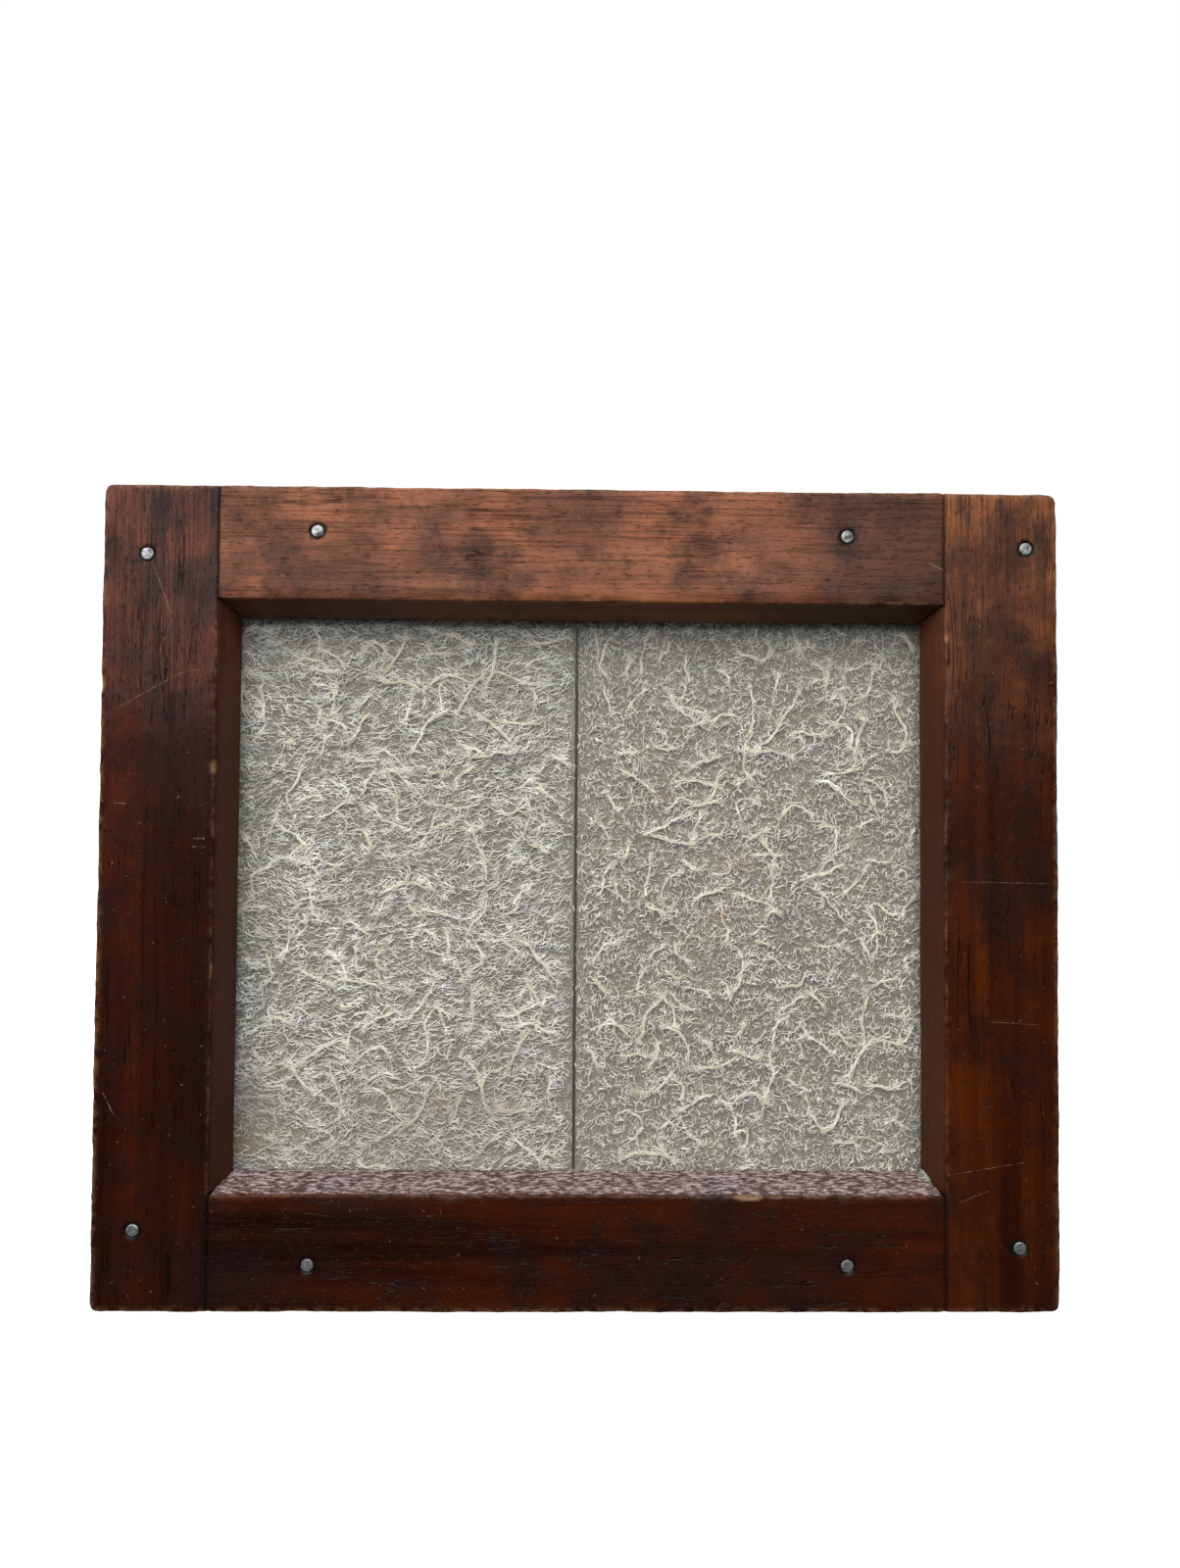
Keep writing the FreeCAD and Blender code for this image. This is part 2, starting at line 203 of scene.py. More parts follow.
# %% Finish helpers
class Finish:
    """A material being mixed: add() makes a node, and values may be numbers or other nodes' outputs."""

    def __init__(self, name):
        self.material = bpy.data.materials.new(name)
        self.material.use_nodes = True
        self.tree = self.material.node_tree
        self.shader = self.tree.nodes["Principled BSDF"]
        self.place = self.add("ShaderNodeTexCoord").outputs["Object"]

    def feed(self, socket, value):
        if isinstance(value, bpy.types.NodeSocket):
            self.tree.links.new(value, socket)
        elif isinstance(value, tuple) and len(value) == 3 and len(getattr(socket, "default_value", ())) == 4:
            socket.default_value = (*value, 1)
        else:
            socket.default_value = value

    def add(self, kind, inputs=None, **settings):
        node = self.tree.nodes.new(kind)
        for key, value in settings.items():
            setattr(node, key, value)
        for key, value in (inputs or {}).items():
            self.feed(node.inputs[key], value)
        return node

    def maths(self, operation, a, b=0.0, c=0.0, clamp=False):
        return self.add("ShaderNodeMath", {0: a, 1: b, 2: c}, operation=operation, use_clamp=clamp).outputs[0]

    def times(self, a, b, clamp=False):
        return self.maths("MULTIPLY", a, b, clamp=clamp)

    def stretched(self, scale):
        return self.add("ShaderNodeMapping", {"Vector": self.place, "Scale": scale}).outputs[0]

    def noise(self, scale, where=None, detail=4.0, roughness=0.55, distortion=0.0):
        inputs = {"Vector": where or self.place, "Scale": scale, "Detail": detail,
                  "Roughness": roughness, "Distortion": distortion}
        return self.add("ShaderNodeTexNoise", inputs).outputs["Fac"]

    def between(self, value, low, high, out_low=0.0, out_high=1.0):
        """Spreads a value between low and high over out_low to out_high, held at both ends."""
        inputs = {"Value": value, "From Min": low, "From Max": high, "To Min": out_low, "To Max": out_high}
        return self.add("ShaderNodeMapRange", inputs, interpolation_type="SMOOTHSTEP").outputs[0]

    def blend(self, share, under, over, how="MIX"):
        mix = self.add("ShaderNodeMix", data_type="RGBA", blend_type=how, clamp_factor=True)
        for index, value in ((0, share), (6, under), (7, over)):
            self.feed(mix.inputs[index], value)
        return mix.outputs[2]

    def painted(self, name):
        return self.add("ShaderNodeAttribute", attribute_name=name, attribute_type="GEOMETRY").outputs["Fac"]

    def relief(self, height, distance, under=None, strength=1.0):
        inputs = {"Height": height, "Distance": distance, "Strength": strength}
        bump = self.add("ShaderNodeBump", inputs)
        if under is not None:
            self.feed(bump.inputs["Normal"], under)
        return bump.outputs[0]

    def finish(self, **sockets):
        for key, value in sockets.items():
            self.feed(self.shader.inputs[key.replace("_", " ")], value)
        return self.material


print("finish helpers ready")

# %% [markdown]
# ## Where wood wears, where dirt settles, and where a highlight is painted
#
# An old frame tells its age at its edges: hands and benches rub the stain off the outer arrises and off the edge
# of the window, where the paler line is also a painted highlight, and grime fills the joints. Both follow straight
# lines that the design fixes. The distance from every point of a piece to those lines is quick to work out, and
# drives both the rounding and the colour.

# %% Lines that wear and lines that fill
def rectangle(half_width, low, high, y):
    corners = [Vector((x, y, z)) for x, z in
               ((-half_width, low), (half_width, low), (half_width, high), (-half_width, high))]
    return list(zip(corners, corners[1:] + corners[:1]))


def straight(a, b):
    return (Vector(a), Vector(b))


REBATE_X = HALF_WIDTH - WALL
TENON_FROM, TENON_TO = FRONT + LIP_DEPTH, FRONT + 15 * MM
worn_lines = rectangle(HALF_WIDTH, 0, TOP, FRONT) + rectangle(HALF_WIDTH, 0, TOP, BACK)
window_lines = rectangle(WINDOW_X, WINDOW_LOW, WINDOW_HIGH, FRONT)
worn_lines += rectangle(REBATE_X, RAIL_WALL, TOP - RAIL_WALL, BACK)
worn_lines += [straight((x, FRONT, z), (x, BACK, z)) for x in (-HALF_WIDTH, HALF_WIDTH) for z in (0, TOP)]

seam_lines = []
for side in (-1, 1):
    for z_edge, z_window, z_rebate in ((0, WINDOW_LOW, RAIL_WALL), (TOP, WINDOW_HIGH, TOP - RAIL_WALL)):
        seam_lines += [
            straight((side * WINDOW_X, FRONT, z_edge), (side * WINDOW_X, FRONT, z_window)),
            straight((side * WINDOW_X, FRONT, z_window), (side * (WINDOW_X - LIP_SLOPE), TENON_FROM, z_window)),
            straight((side * REBATE_X, BACK, z_edge), (side * REBATE_X, BACK, z_rebate)),
            straight((side * HALF_WIDTH, TENON_FROM, z_edge), (side * HALF_WIDTH, TENON_FROM, z_rebate)),
            straight((side * HALF_WIDTH, TENON_TO, z_edge), (side * HALF_WIDTH, TENON_TO, z_rebate)),
            straight((side * HALF_WIDTH, TENON_FROM, z_rebate), (side * HALF_WIDTH, TENON_TO, z_rebate)),
        ]


def distance_to(points, lines):
    """Distance from each point to the nearest of some straight lines."""
    nearest = np.full(len(points), 1.0)
    for start, end in lines:
        a, run = np.array(start), np.array(end - start)
        along = np.clip((points - a) @ run / (run @ run), 0, 1)
        nearest = np.minimum(nearest, np.linalg.norm(points - a - along[:, None] * run, axis=1))
    return nearest


print("lines that wear:", len(worn_lines + window_lines), "lines that fill:", len(seam_lines))

# %% [markdown]
# ## Chips in the arrises
#
# A few knocks have gone deeper than the stain and show pale wood. A chip could be painted, but it breaks the
# outline, so it is cut: a lumpy ball, squashed to the size of the knock, is taken away from the member. The
# knocks are listed as places on the frame in millimetres from its front face and its bottom left.

# %% Knocks
# (across from the middle, up from the bottom) and half sizes across, inwards and up, in millimetres
KNOCKS = [
    ((-82.6, 106.4), (0.8, 0.9, 1.5)), ((-82.7, 103.2), (0.5, 0.6, 1.0)), ((-62.5, 92.4), (0.8, 0.7, 1.1)),
    ((29.0, 19.7), (2.2, 0.45, 0.5)), ((33.6, 19.9), (1.1, 0.4, 0.4)), ((62.8, 115.6), (0.5, 0.4, 0.7)),
    ((77.6, 141.1), (2.0, 0.5, 0.5)), ((-70.5, 141.1), (1.3, 0.6, 0.4)), ((-82.7, 7.6), (0.6, 0.5, 0.7)),
    ((-4.0, 141.2), (1.9, 0.5, 0.4)), ((20.0, 141.2), (2.6, 0.5, 0.4)), ((-41.0, -0.1), (1.6, 0.5, 0.4)),
    ((82.6, 62.0), (0.4, 0.5, 1.6)), ((82.6, 30.5), (0.4, 0.5, 0.9)), ((-62.6, 58.0), (0.4, 0.4, 1.6)),
    ((54.0, 121.3), (1.2, 0.4, 0.35)), ((-22.0, 19.7), (0.8, 0.3, 0.3)), ((46.0, 141.2), (1.2, 0.4, 0.4)),
]
KNOCK_PLACES = [Vector((x * MM, FRONT, z * MM)) for (x, z), _ in KNOCKS]
KNOCK_SIZES = [Vector(size) * MM for _, size in KNOCKS]


def lumps(name, size, depth=3):
    """A cloud pattern that a Displace modifier pushes a surface by; size is that of its largest lumps."""
    pattern = bpy.data.textures.new(name, "CLOUDS")
    pattern.noise_scale = size
    pattern.noise_depth = depth
    return pattern


def push_about(piece, pattern, amount, middle=0.5, group=""):
    add_modifier(piece, "DISPLACE", texture=pattern, texture_coords="LOCAL", strength=amount,
                 mid_level=middle, vertex_group=group)


knock_lumps = lumps("knock_lumps", 0.9 * MM)
knock_balls = []
for place, size in zip(KNOCK_PLACES, KNOCK_SIZES):
    clear_bench()
    bpy.ops.mesh.primitive_ico_sphere_add(subdivisions=3, radius=1, location=place, scale=size)
    ball = bpy.context.object
    put_in_place(ball)
    push_about(ball, knock_lumps, 0.35 * MM)
    apply_modifiers(ball)
    knock_balls.append(ball)
knock_tool = join_up(knock_balls, "knock_tool")
knock_tool.hide_render = True
print("knocks:", len(KNOCKS))

# %% [markdown]
# ## Four worn members
#
# The stiles and rails are planed hardwood, joined by open mortise and tenon. Their shapes come from the design;
# what is missing is wear. A bevel would round every edge alike, like moulded plastic. Remeshing the member into
# small even faces, then letting cloud patterns eat at it only near the arrises, gives edges that wander as worn
# wood does. A last decimation drops the faces that flat wood doesn't need.

# %% Carve a member
GRAIN_MESH = 0.36 * MM
plane_waves = lumps("plane_waves", 22 * MM, depth=1)
edge_wear = lumps("edge_wear", 4.5 * MM)
fine_wear = lumps("fine_wear", 1.1 * MM)


def group_points(piece, name, weights):
    """A vertex group, so that a modifier works harder on some points than on others."""
    group = piece.vertex_groups.new(name=name)
    for index in np.flatnonzero(weights > 0.02):
        group.add([int(index)], float(weights[index]), "REPLACE")


def carve_member(node, keep):
    piece = working_copy(node, f"{node}_worn")
    add_modifier(piece, "BOOLEAN", operation="DIFFERENCE", object=knock_tool, solver="EXACT")
    add_modifier(piece, "REMESH", mode="VOXEL", voxel_size=GRAIN_MESH)
    add_modifier(piece, "SMOOTH", factor=0.5, iterations=2)
    apply_modifiers(piece)
    near = np.exp(-(distance_to(points_of(piece), worn_lines + window_lines) / (1.1 * MM)) ** 2)
    group_points(piece, "arris", near)
    push_about(piece, plane_waves, 0.22 * MM)
    push_about(piece, edge_wear, 0.42 * MM, middle=0.85, group="arris")
    push_about(piece, fine_wear, 0.15 * MM, middle=0.6, group="arris")
    add_modifier(piece, "DECIMATE", ratio=keep)
    apply_modifiers(piece)
    piece.vertex_groups.clear()
    smooth(piece, 60)
    return piece


members = {}
for node in ("left_stile", "right_stile", "top_rail", "bottom_rail"):
    members[node] = carve_member(node, keep=0.45)
    print(node, "triangles:", triangles(members[node]))

# %% [markdown]
# ## Painting wear, dirt and painted light on the points
#
# The finish has to know which parts of the surface are rubbed bare, freshly chipped, grimy, dusty, or part of the
# rough sawn slope of the lip. Along the window edge the rubbed line is also a painted highlight, and on the lip's
# upward faces the dust is also a painted sheen. Each is stored as a number on every point, worked out from the same
# lines as the carving, so that colour and shape always agree.

# %% Paint the members
def lip_share(points):
    """1 on the sloped lip round the window, fading to 0 on the front face."""
    inwards = np.minimum(WINDOW_X - np.abs(points[:, 0]), HALF_WIDTH)
    upwards = (WINDOW_HIGH - WINDOW_LOW) / 2 - np.abs(points[:, 2] - MIDDLE)
    inside = np.minimum(inwards, upwards)
    shallow = points[:, 1] < FRONT + LIP_DEPTH - 0.3 * MM
    return np.clip((inside + 0.05 * MM) / (0.25 * MM), 0, 1) * shallow


def paint_member(piece):
    points = points_of(piece)
    normals = np.array([v.normal for v in piece.data.vertices])
    worn = np.exp(-(distance_to(points, worn_lines) / (0.75 * MM)) ** 2)
    # painted highlight: along the window edge the paler line is partly wear and partly a painted highlight
    worn = np.maximum(worn, 0.75 * np.exp(-(distance_to(points, window_lines) / (0.34 * MM)) ** 2))
    filled = np.exp(-(distance_to(points, seam_lines) / (0.35 * MM)) ** 2)
    fresh = np.zeros(len(points))
    for place, size in zip(KNOCK_PLACES, KNOCK_SIZES):
        reach = np.linalg.norm((points - np.array(place)) / (np.array(size) * 1.12), axis=1)
        fresh = np.maximum(fresh, np.clip((1.25 - reach) / 0.3, 0, 1))
    lip = lip_share(points)
    paint_points(piece, "worn", worn * (1 - filled))
    paint_points(piece, "filled", filled)
    paint_points(piece, "fresh", fresh)
    paint_points(piece, "lip", lip)
    # dust, and a painted sheen of the light from above, on the lip's faces that face up
    paint_points(piece, "dust", lip * np.clip(normals[:, 2] * 1.6 - 0.5, 0, 1))


for piece in members.values():
    paint_member(piece)
print("painted:", ", ".join(members))

# %% [markdown]
# ## Nail places
#
# A dark ring round every nail head is painted: grime, and the shade of the gap the head sits in. The heads are
# separate solids in two pieces of the design, one in each quarter of the frame, so splitting their points into
# quarters gives the eight places.

# %% Find the nails
def quarters(node):
    """The middle of each of four like solids, one in each quarter of the frame."""
    points = points_of(nodes[node])
    middles = []
    for side in (-1, 1):
        for end in (-1, 1):
            own = points[(points[:, 0] * side > 0) & ((points[:, 2] - MIDDLE) * end > 0)]
            middles.append(Vector((own[:, 0].min() + own[:, 0].max(), 0, own[:, 2].min() + own[:, 2].max())) / 2)
    return middles


nail_places = quarters("corner_nails") + quarters("catch_rivets")
print("nails at", [(round(p.x / MM, 1), round(p.z / MM, 1)) for p in nail_places])

# %% [markdown]
# ## Stained hardwood
#
# The wood is close grained and stained a dark red brown, under old shellac that is now dull in places and
# scratched. Grain is noise that is stretched along the member, in three sizes: broad figure, fine fibre, and
# short dark pores. Over it lie stain blotches, specks, worn arrises with a painted highlight along the window edge,
# grime in the joints, grime and painted shade round the nails, dust and painted sheen on the lower lip, pale chips,
# and a handful of long scratches. Higher up the wood turns paler, partly faded stain and partly a painted reflection
# of the light above. Colour, roughness and relief all share the same patterns.

# %% Scratches
# ends of each scratch, across and up in millimetres, and its width
SCRATCHES = [
    ((-73.9, 127.4), (-70.6, 118.6), 0.11), ((-70.5, 117.4), (-72.6, 111.4), 0.10),
    ((-79.0, 102.5), (-69.0, 108.2), 0.09), ((-69.0, 108.2), (-65.6, 109.0), 0.07),
    ((-66.3, 80.0), (-64.3, 80.0), 0.20), ((-66.2, 78.6), (-64.2, 78.5), 0.13),
    ((60.0, 128.5), (62.4, 127.4), 0.16), ((63.0, 23.4), (76.0, 25.6), 0.07),
    ((65.5, 73.4), (80.5, 73.2), 0.06), ((64.5, 18.6), (71.0, 21.2), 0.06),
    ((-79.6, 86.0), (-77.8, 85.9), 0.14), ((-80.6, 37.0), (-78.6, 33.0), 0.10),
    ((13.6, 124.0), (13.7, 131.4), 0.07), ((-28.0, 134.0), (-26.2, 128.8), 0.06),
    ((70.2, 49.5), (79.0, 49.0), 0.06),
]


def scratch_marks(wood):
    """1 along each scratch, from the distance between a point on the face and the scratch's line."""
    split = wood.add("ShaderNodeSeparateXYZ", {0: wood.place})
    on_face = wood.add("ShaderNodeCombineXYZ", {0: split.outputs[0], 2: split.outputs[2]}).outputs[0]
    wobble = wood.noise(900, detail=2)
    marks = 0.0
    for (x0, z0), (x1, z1), width in SCRATCHES:
        start = Vector((x0, 0, z0)) * MM
        run = Vector((x1, 0, z1)) * MM - start
        away = wood.add("ShaderNodeVectorMath", {0: on_face, 1: start}, operation="SUBTRACT").outputs[0]
        dot = wood.add("ShaderNodeVectorMath", {0: away, 1: run / run.length_squared}, operation="DOT_PRODUCT")
        along = wood.maths("ADD", dot.outputs["Value"], 0.0, clamp=True)
        spot = wood.add("ShaderNodeVectorMath", {0: run, "Scale": along}, operation="SCALE").outputs[0]
        gap = wood.add("ShaderNodeVectorMath", {0: away, 1: spot}, operation="DISTANCE").outputs["Value"]
        reach = wood.times(wobble, 2.0 * width * MM)
        mark = wood.between(gap, 0.0, reach, 1.0, 0.0)
        marks = wood.maths("MAXIMUM", mark, marks)
    front_only = wood.between(split.outputs[1], FRONT + 0.3 * MM, FRONT + 0.6 * MM, 1.0, 0.0)
    return wood.times(marks, front_only)


def nail_grime_and_shade(wood):
    """1 in a ring round each nail head, fading outwards: grime and the painted shade of the gap round the head."""
    split = wood.add("ShaderNodeSeparateXYZ", {0: wood.place})
    on_face = wood.add("ShaderNodeCombineXYZ", {0: split.outputs[0], 2: split.outputs[2]}).outputs[0]
    nearest = 1.0
    for place in nail_places:
        gap = wood.add("ShaderNodeVectorMath", {0: on_face, 1: place}, operation="DISTANCE").outputs["Value"]
        nearest = wood.maths("MINIMUM", gap, nearest)
    uneven = wood.times(wood.noise(700, detail=2), 1.6 * MM)
    ring = wood.between(wood.maths("SUBTRACT", nearest, uneven), 0.5 * MM, 1.1 * MM, 0.9, 0.0)
    return wood.times(ring, wood.between(split.outputs[1], FRONT + 1.0 * MM, FRONT + 1.6 * MM, 1.0, 0.0))


# %% Stained wood
def stained_wood(name, along, shift, deep, warm, faded_and_sheen_colour, fade_and_sheen_from, fade_and_sheen_to, mottle=0.0, dusk=0.0):
    """along is the axis of the grain: 0 across the frame, 2 up it. Between two heights in mm the wood turns paler: the
    stain fades, and a painted reflection of the light above adds to it. Mottle adds dark stains to the paler part,
    and dusk darkens the end on the right."""
    wood = Finish(name)

    def drawn_out(squeeze, move=(0, 0, 0)):
        scale = [1.0, 1.0, 1.0]
        scale[along] = squeeze
        return wood.add("ShaderNodeMapping", {"Vector": wood.place, "Scale": tuple(scale), "Location": move}).outputs[0]

    grain = drawn_out(0.055, shift)
    short_grain = drawn_out(0.16)

    figure = wood.between(wood.noise(150, grain, detail=5, distortion=0.5), 0.3, 0.7)
    fibre = wood.noise(1900, grain, detail=4, roughness=0.7)
    pores = wood.between(wood.noise(3600, short_grain, detail=2), 0.6, 0.72)
    blotches = wood.between(wood.noise(75, detail=6, roughness=0.68), 0.40, 0.66)
    smoke = wood.between(wood.noise(34, detail=5, roughness=0.6), 0.46, 0.62)
    spots = wood.between(wood.noise(420, detail=4, roughness=0.7), 0.62, 0.74)
    specks = wood.between(wood.noise(1300, detail=2), 0.72, 0.78)
    wavy = wood.noise(330, grain, detail=3, distortion=0.3)
    checks = wood.times(wood.between(wavy, 0.490, 0.5), wood.between(wavy, 0.5, 0.510, 1.0, 0.0))
    checks = wood.times(checks, wood.between(wood.noise(60, detail=2), 0.47, 0.58))

    lines = wood.between(wood.noise(2100, drawn_out(0.028, shift), detail=4, roughness=0.65, distortion=0.25),
                         0.50, 0.64)

    height = wood.add("ShaderNodeSeparateXYZ", {0: wood.place}).outputs[2]
    uneven = wood.times(wood.maths("SUBTRACT", wood.noise(60, detail=5, roughness=0.65), 0.5), 60 * MM)
    # painted reflection: the wood turns paler with height, partly faded stain and partly the painted sheen of the light
    # above
    fade_and_sheen = wood.between(wood.maths("ADD", height, uneven), fade_and_sheen_from * MM, fade_and_sheen_to * MM)
    strength = wood.between(fibre, 0.32, 0.68, 0.62, 1.0)

    colour = wood.blend(figure, deep, warm)
    colour = wood.blend(wood.times(fade_and_sheen, strength), colour, faded_and_sheen_colour)
    colour = wood.blend(wood.between(fibre, 0.35, 0.7, 0.0, 0.7), colour, (0.66, 0.5, 0.42), "SOFT_LIGHT")
    line_share = wood.times(lines, wood.between(fade_and_sheen, 0.0, 1.0, 0.45, 0.62))
    colour = wood.blend(line_share, colour, (0.028, 0.011, 0.007))
    colour = wood.blend(wood.times(smoke, 0.45), colour, (0.010, 0.004, 0.003))
    colour = wood.blend(wood.times(blotches, 0.72), colour, (0.012, 0.006, 0.006))
    stains = wood.between(wood.noise(170, short_grain, detail=5, roughness=0.7, distortion=0.6), 0.47, 0.60)
    colour = wood.blend(wood.times(stains, wood.times(fade_and_sheen, mottle)), colour, (0.014, 0.008, 0.008))
    right_end = wood.add("ShaderNodeSeparateXYZ", {0: wood.place}).outputs[0]
    right_end = wood.between(wood.maths("ADD", right_end, uneven), 16 * MM, 54 * MM)
    colour = wood.blend(wood.times(right_end, dusk), colour, (0.030, 0.014, 0.012))
    colour = wood.blend(wood.times(pores, 0.42), colour, (0.008, 0.003, 0.002))
    colour = wood.blend(wood.times(spots, 0.6), colour, (0.008, 0.004, 0.004))
    colour = wood.blend(wood.times(checks, 0.9), colour, (0.006, 0.003, 0.002))
    colour = wood.blend(wood.times(specks, 0.35), colour, (0.32, 0.2, 0.15))

    colour = wood.blend(1.0, colour, (0.88, 0.84, 0.80), "MULTIPLY")

    ragged = wood.between(wood.noise(520, detail=5, roughness=0.7), 0.40, 0.60)
    # paler arrises: wear on the outer arrises, wear and a painted highlight along the window edge
    rubbed_and_highlit = wood.times(wood.painted("worn"), ragged)
    colour = wood.blend(wood.times(rubbed_and_highlit, 0.55), colour, (0.30, 0.145, 0.075))
    flecks = wood.noise(1900, wood.stretched((0.34, 1.0, 1.0)), detail=5, roughness=0.75)
    # pale mauve flecks on the lip's upward faces: dust and a painted sheen of the light from above
    dusty_and_sheen = wood.times(wood.painted("dust"), wood.between(flecks, 0.45, 0.60, 0.10, 1.0))
    colour = wood.blend(wood.times(dusty_and_sheen, 0.72), colour, (0.55, 0.43, 0.43))
    clean_lip = wood.maths("SUBTRACT", wood.painted("lip"), wood.painted("dust"), clamp=True)
    colour = wood.blend(wood.times(clean_lip, 0.30), colour, (0.140, 0.044, 0.020))
    broken = wood.between(wood.noise(800, detail=3), 0.42, 0.58, 0.15, 1.0)
    scratches = wood.times(scratch_marks(wood), broken)
    colour = wood.blend(wood.times(scratches, 0.5), colour, (0.36, 0.22, 0.15))
    colour = wood.blend(wood.times(wood.painted("filled"), 0.85), colour, (0.004, 0.003, 0.003))
    # painted shade: a dark ring round each nail head, grime and the shade of the gap round the head
    colour = wood.blend(nail_grime_and_shade(wood), colour, (0.004, 0.003, 0.003))
    pale = wood.blend(fibre, (0.15, 0.068, 0.032), (0.33, 0.19, 0.10))
    colour = wood.blend(wood.times(wood.painted("fresh"), 0.72), colour, pale)

    gloss = wood.between(wood.noise(40, detail=5), 0.35, 0.65, 0.20, 0.28)
    gloss = wood.maths("ADD", gloss, wood.times(fibre, 0.05))
    gloss = wood.maths("ADD", gloss, wood.times(fade_and_sheen, 0.24))
    gloss = wood.maths("ADD", gloss, wood.times(wood.painted("lip"), 0.12), clamp=True)

    relief = wood.relief(fibre, 0.025 * MM, strength=0.7)
    line_depth = wood.times(lines, wood.between(fade_and_sheen, 0.0, 1.0, 0.3, 1.0))
    relief = wood.relief(line_depth, -0.035 * MM, under=relief)
    relief = wood.relief(wood.maths("ADD", pores, checks), -0.09 * MM, under=relief)
    relief = wood.relief(wood.maths("ADD", scratches, spots), -0.05 * MM, under=relief)
    sawn = wood.times(flecks, wood.painted("lip"))
    relief = wood.relief(sawn, 0.20 * MM, under=relief)
    return wood.finish(Base_Color=colour, Roughness=gloss, Normal=relief, Specular_IOR_Level=0.11)


UPRIGHT, ACROSS = 2, 0
# painted reflection: the top rail's pale colours and the stiles' paler upper parts are partly faded stain and partly
# the painted sheen of the light above in the shellac
frame_finishes = {
    "left_stile": stained_wood("left_stile_wood", UPRIGHT, (0.11, 0.02, 0.3), (0.016, 0.0026, 0.0010),
                               (0.064, 0.0125, 0.0038), (0.135, 0.048, 0.031), 88, 138, mottle=0.85),
    "right_stile": stained_wood("right_stile_wood", UPRIGHT, (0.42, 0.07, 0.9), (0.022, 0.0040, 0.0008),
                                (0.078, 0.0175, 0.0025), (0.240, 0.092, 0.038), 92, 140, mottle=0.70),
    "top_rail": stained_wood("top_rail_wood", ACROSS, (0.2, 0.05, 0.63), (0.095, 0.0330, 0.0150),
                             (0.270, 0.1060, 0.0520), (0.320, 0.128, 0.068), 112, 146, dusk=0.72),
    "bottom_rail": stained_wood("bottom_rail_wood", ACROSS, (0.7, 0.15, 0.23), (0.010, 0.0018, 0.0007),
                                (0.054, 0.0110, 0.0026), (0.06, 0.018, 0.006), 200, 260),
}
for node, piece in members.items():
    piece.data.materials.append(frame_finishes[node])
    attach(piece, "frame")
    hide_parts(node)
bpy.data.objects.remove(knock_tool)
print("finishes:", len(frame_finishes))

# %% [markdown]
# ## Two back boards
#
# Behind the cloth each leaf is a plain board. Where two boards meet, light would leak onto the print, so their
# edges are halved: a tongue on the right board lies in a rebate in the left one, with a little play so that
# either leaf can open first. Tongue and rebate are small boxes, joined to and cut from copies of the design's
# boards, and then the boards are remeshed and worn like the frame, only less.

# %% Boards
LAP = 1.5 * MM
LAP_FROM, LAP_TO = 2.6 * MM, 4.9 * MM    # depths of the tongue behind the board's front
LAP_PLAY = 0.3 * MM


def lap_box(name, low, high):
    clear_bench()
    bpy.ops.mesh.primitive_cube_add(size=1, location=(low + high) / 2)
    box = bpy.context.object
    box.name = name
    box.scale = high - low
    put_in_place(box)
    return box


BEYOND = 1 * MM      # how far a cutter reaches past the board


def back_board(side):
    node = f"{side}_back_board"
    low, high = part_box(node)
    piece = working_copy(node, f"{node}_worn")
    tongue_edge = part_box("right_back_board")[0].x
    if side == "left":
        cut_from = Vector((tongue_edge - LAP - LAP_PLAY, low.y + LAP_FROM - LAP_PLAY, low.z - BEYOND))
        cutter = lap_box("lap_cutter", cut_from, high + Vector((BEYOND, BEYOND, BEYOND)))
        add_modifier(piece, "BOOLEAN", operation="DIFFERENCE", object=cutter, solver="EXACT")
    else:
        cutter = lap_box("lap_tongue", Vector((tongue_edge - LAP, low.y + LAP_FROM, low.z + 0.2 * MM)),
                         Vector((tongue_edge + BEYOND, low.y + LAP_TO, high.z - 0.2 * MM)))
        add_modifier(piece, "BOOLEAN", operation="UNION", object=cutter, solver="EXACT")
    add_modifier(piece, "REMESH", mode="VOXEL", voxel_size=0.5 * MM)
    add_modifier(piece, "SMOOTH", factor=0.5, iterations=2)
    apply_modifiers(piece)
    bpy.data.objects.remove(cutter)
    edges = [straight((x, high.y, low.z), (x, high.y, high.z)) for x in (low.x, high.x)]
    edges += [straight((low.x, high.y, z), (high.x, high.y, z)) for z in (low.z, high.z)]
    near = np.exp(-(distance_to(points_of(piece), edges) / (0.9 * MM)) ** 2)
    group_points(piece, "arris", near)
    push_about(piece, edge_wear, 0.35 * MM, middle=0.9, group="arris")
    add_modifier(piece, "DECIMATE", ratio=0.35)
    apply_modifiers(piece)
    piece.vertex_groups.clear()
    smooth(piece, 60)
    paint_points(piece, "worn", np.exp(-(distance_to(points_of(piece), edges) / (0.8 * MM)) ** 2))
    return piece


boards = {side: back_board(side) for side in ("left", "right")}
back_finish = stained_wood("back_board_wood", UPRIGHT, (0.9, 0.31, 0.12), (0.036, 0.0085, 0.0032),
                           (0.115, 0.0340, 0.0105), (0.14, 0.05, 0.02), 200, 260)
for side, board in boards.items():
    board.data.materials.append(back_finish)
    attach(board, f"{side}_leaf")
    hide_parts(f"{side}_back_board")
    print(side, "board triangles:", triangles(board))

# %% [markdown]
# ## Aged metal
#
# All of the metal is plain sheet, wire and nails, and all of it is old: steel has gone grey and freckled with
# rust, brass has browned. One recipe serves them all. A bright and a dull tone follow a cloudy pattern, tarnish
# settles in blotches, and pits roughen the surface. Only the colours and amounts differ.

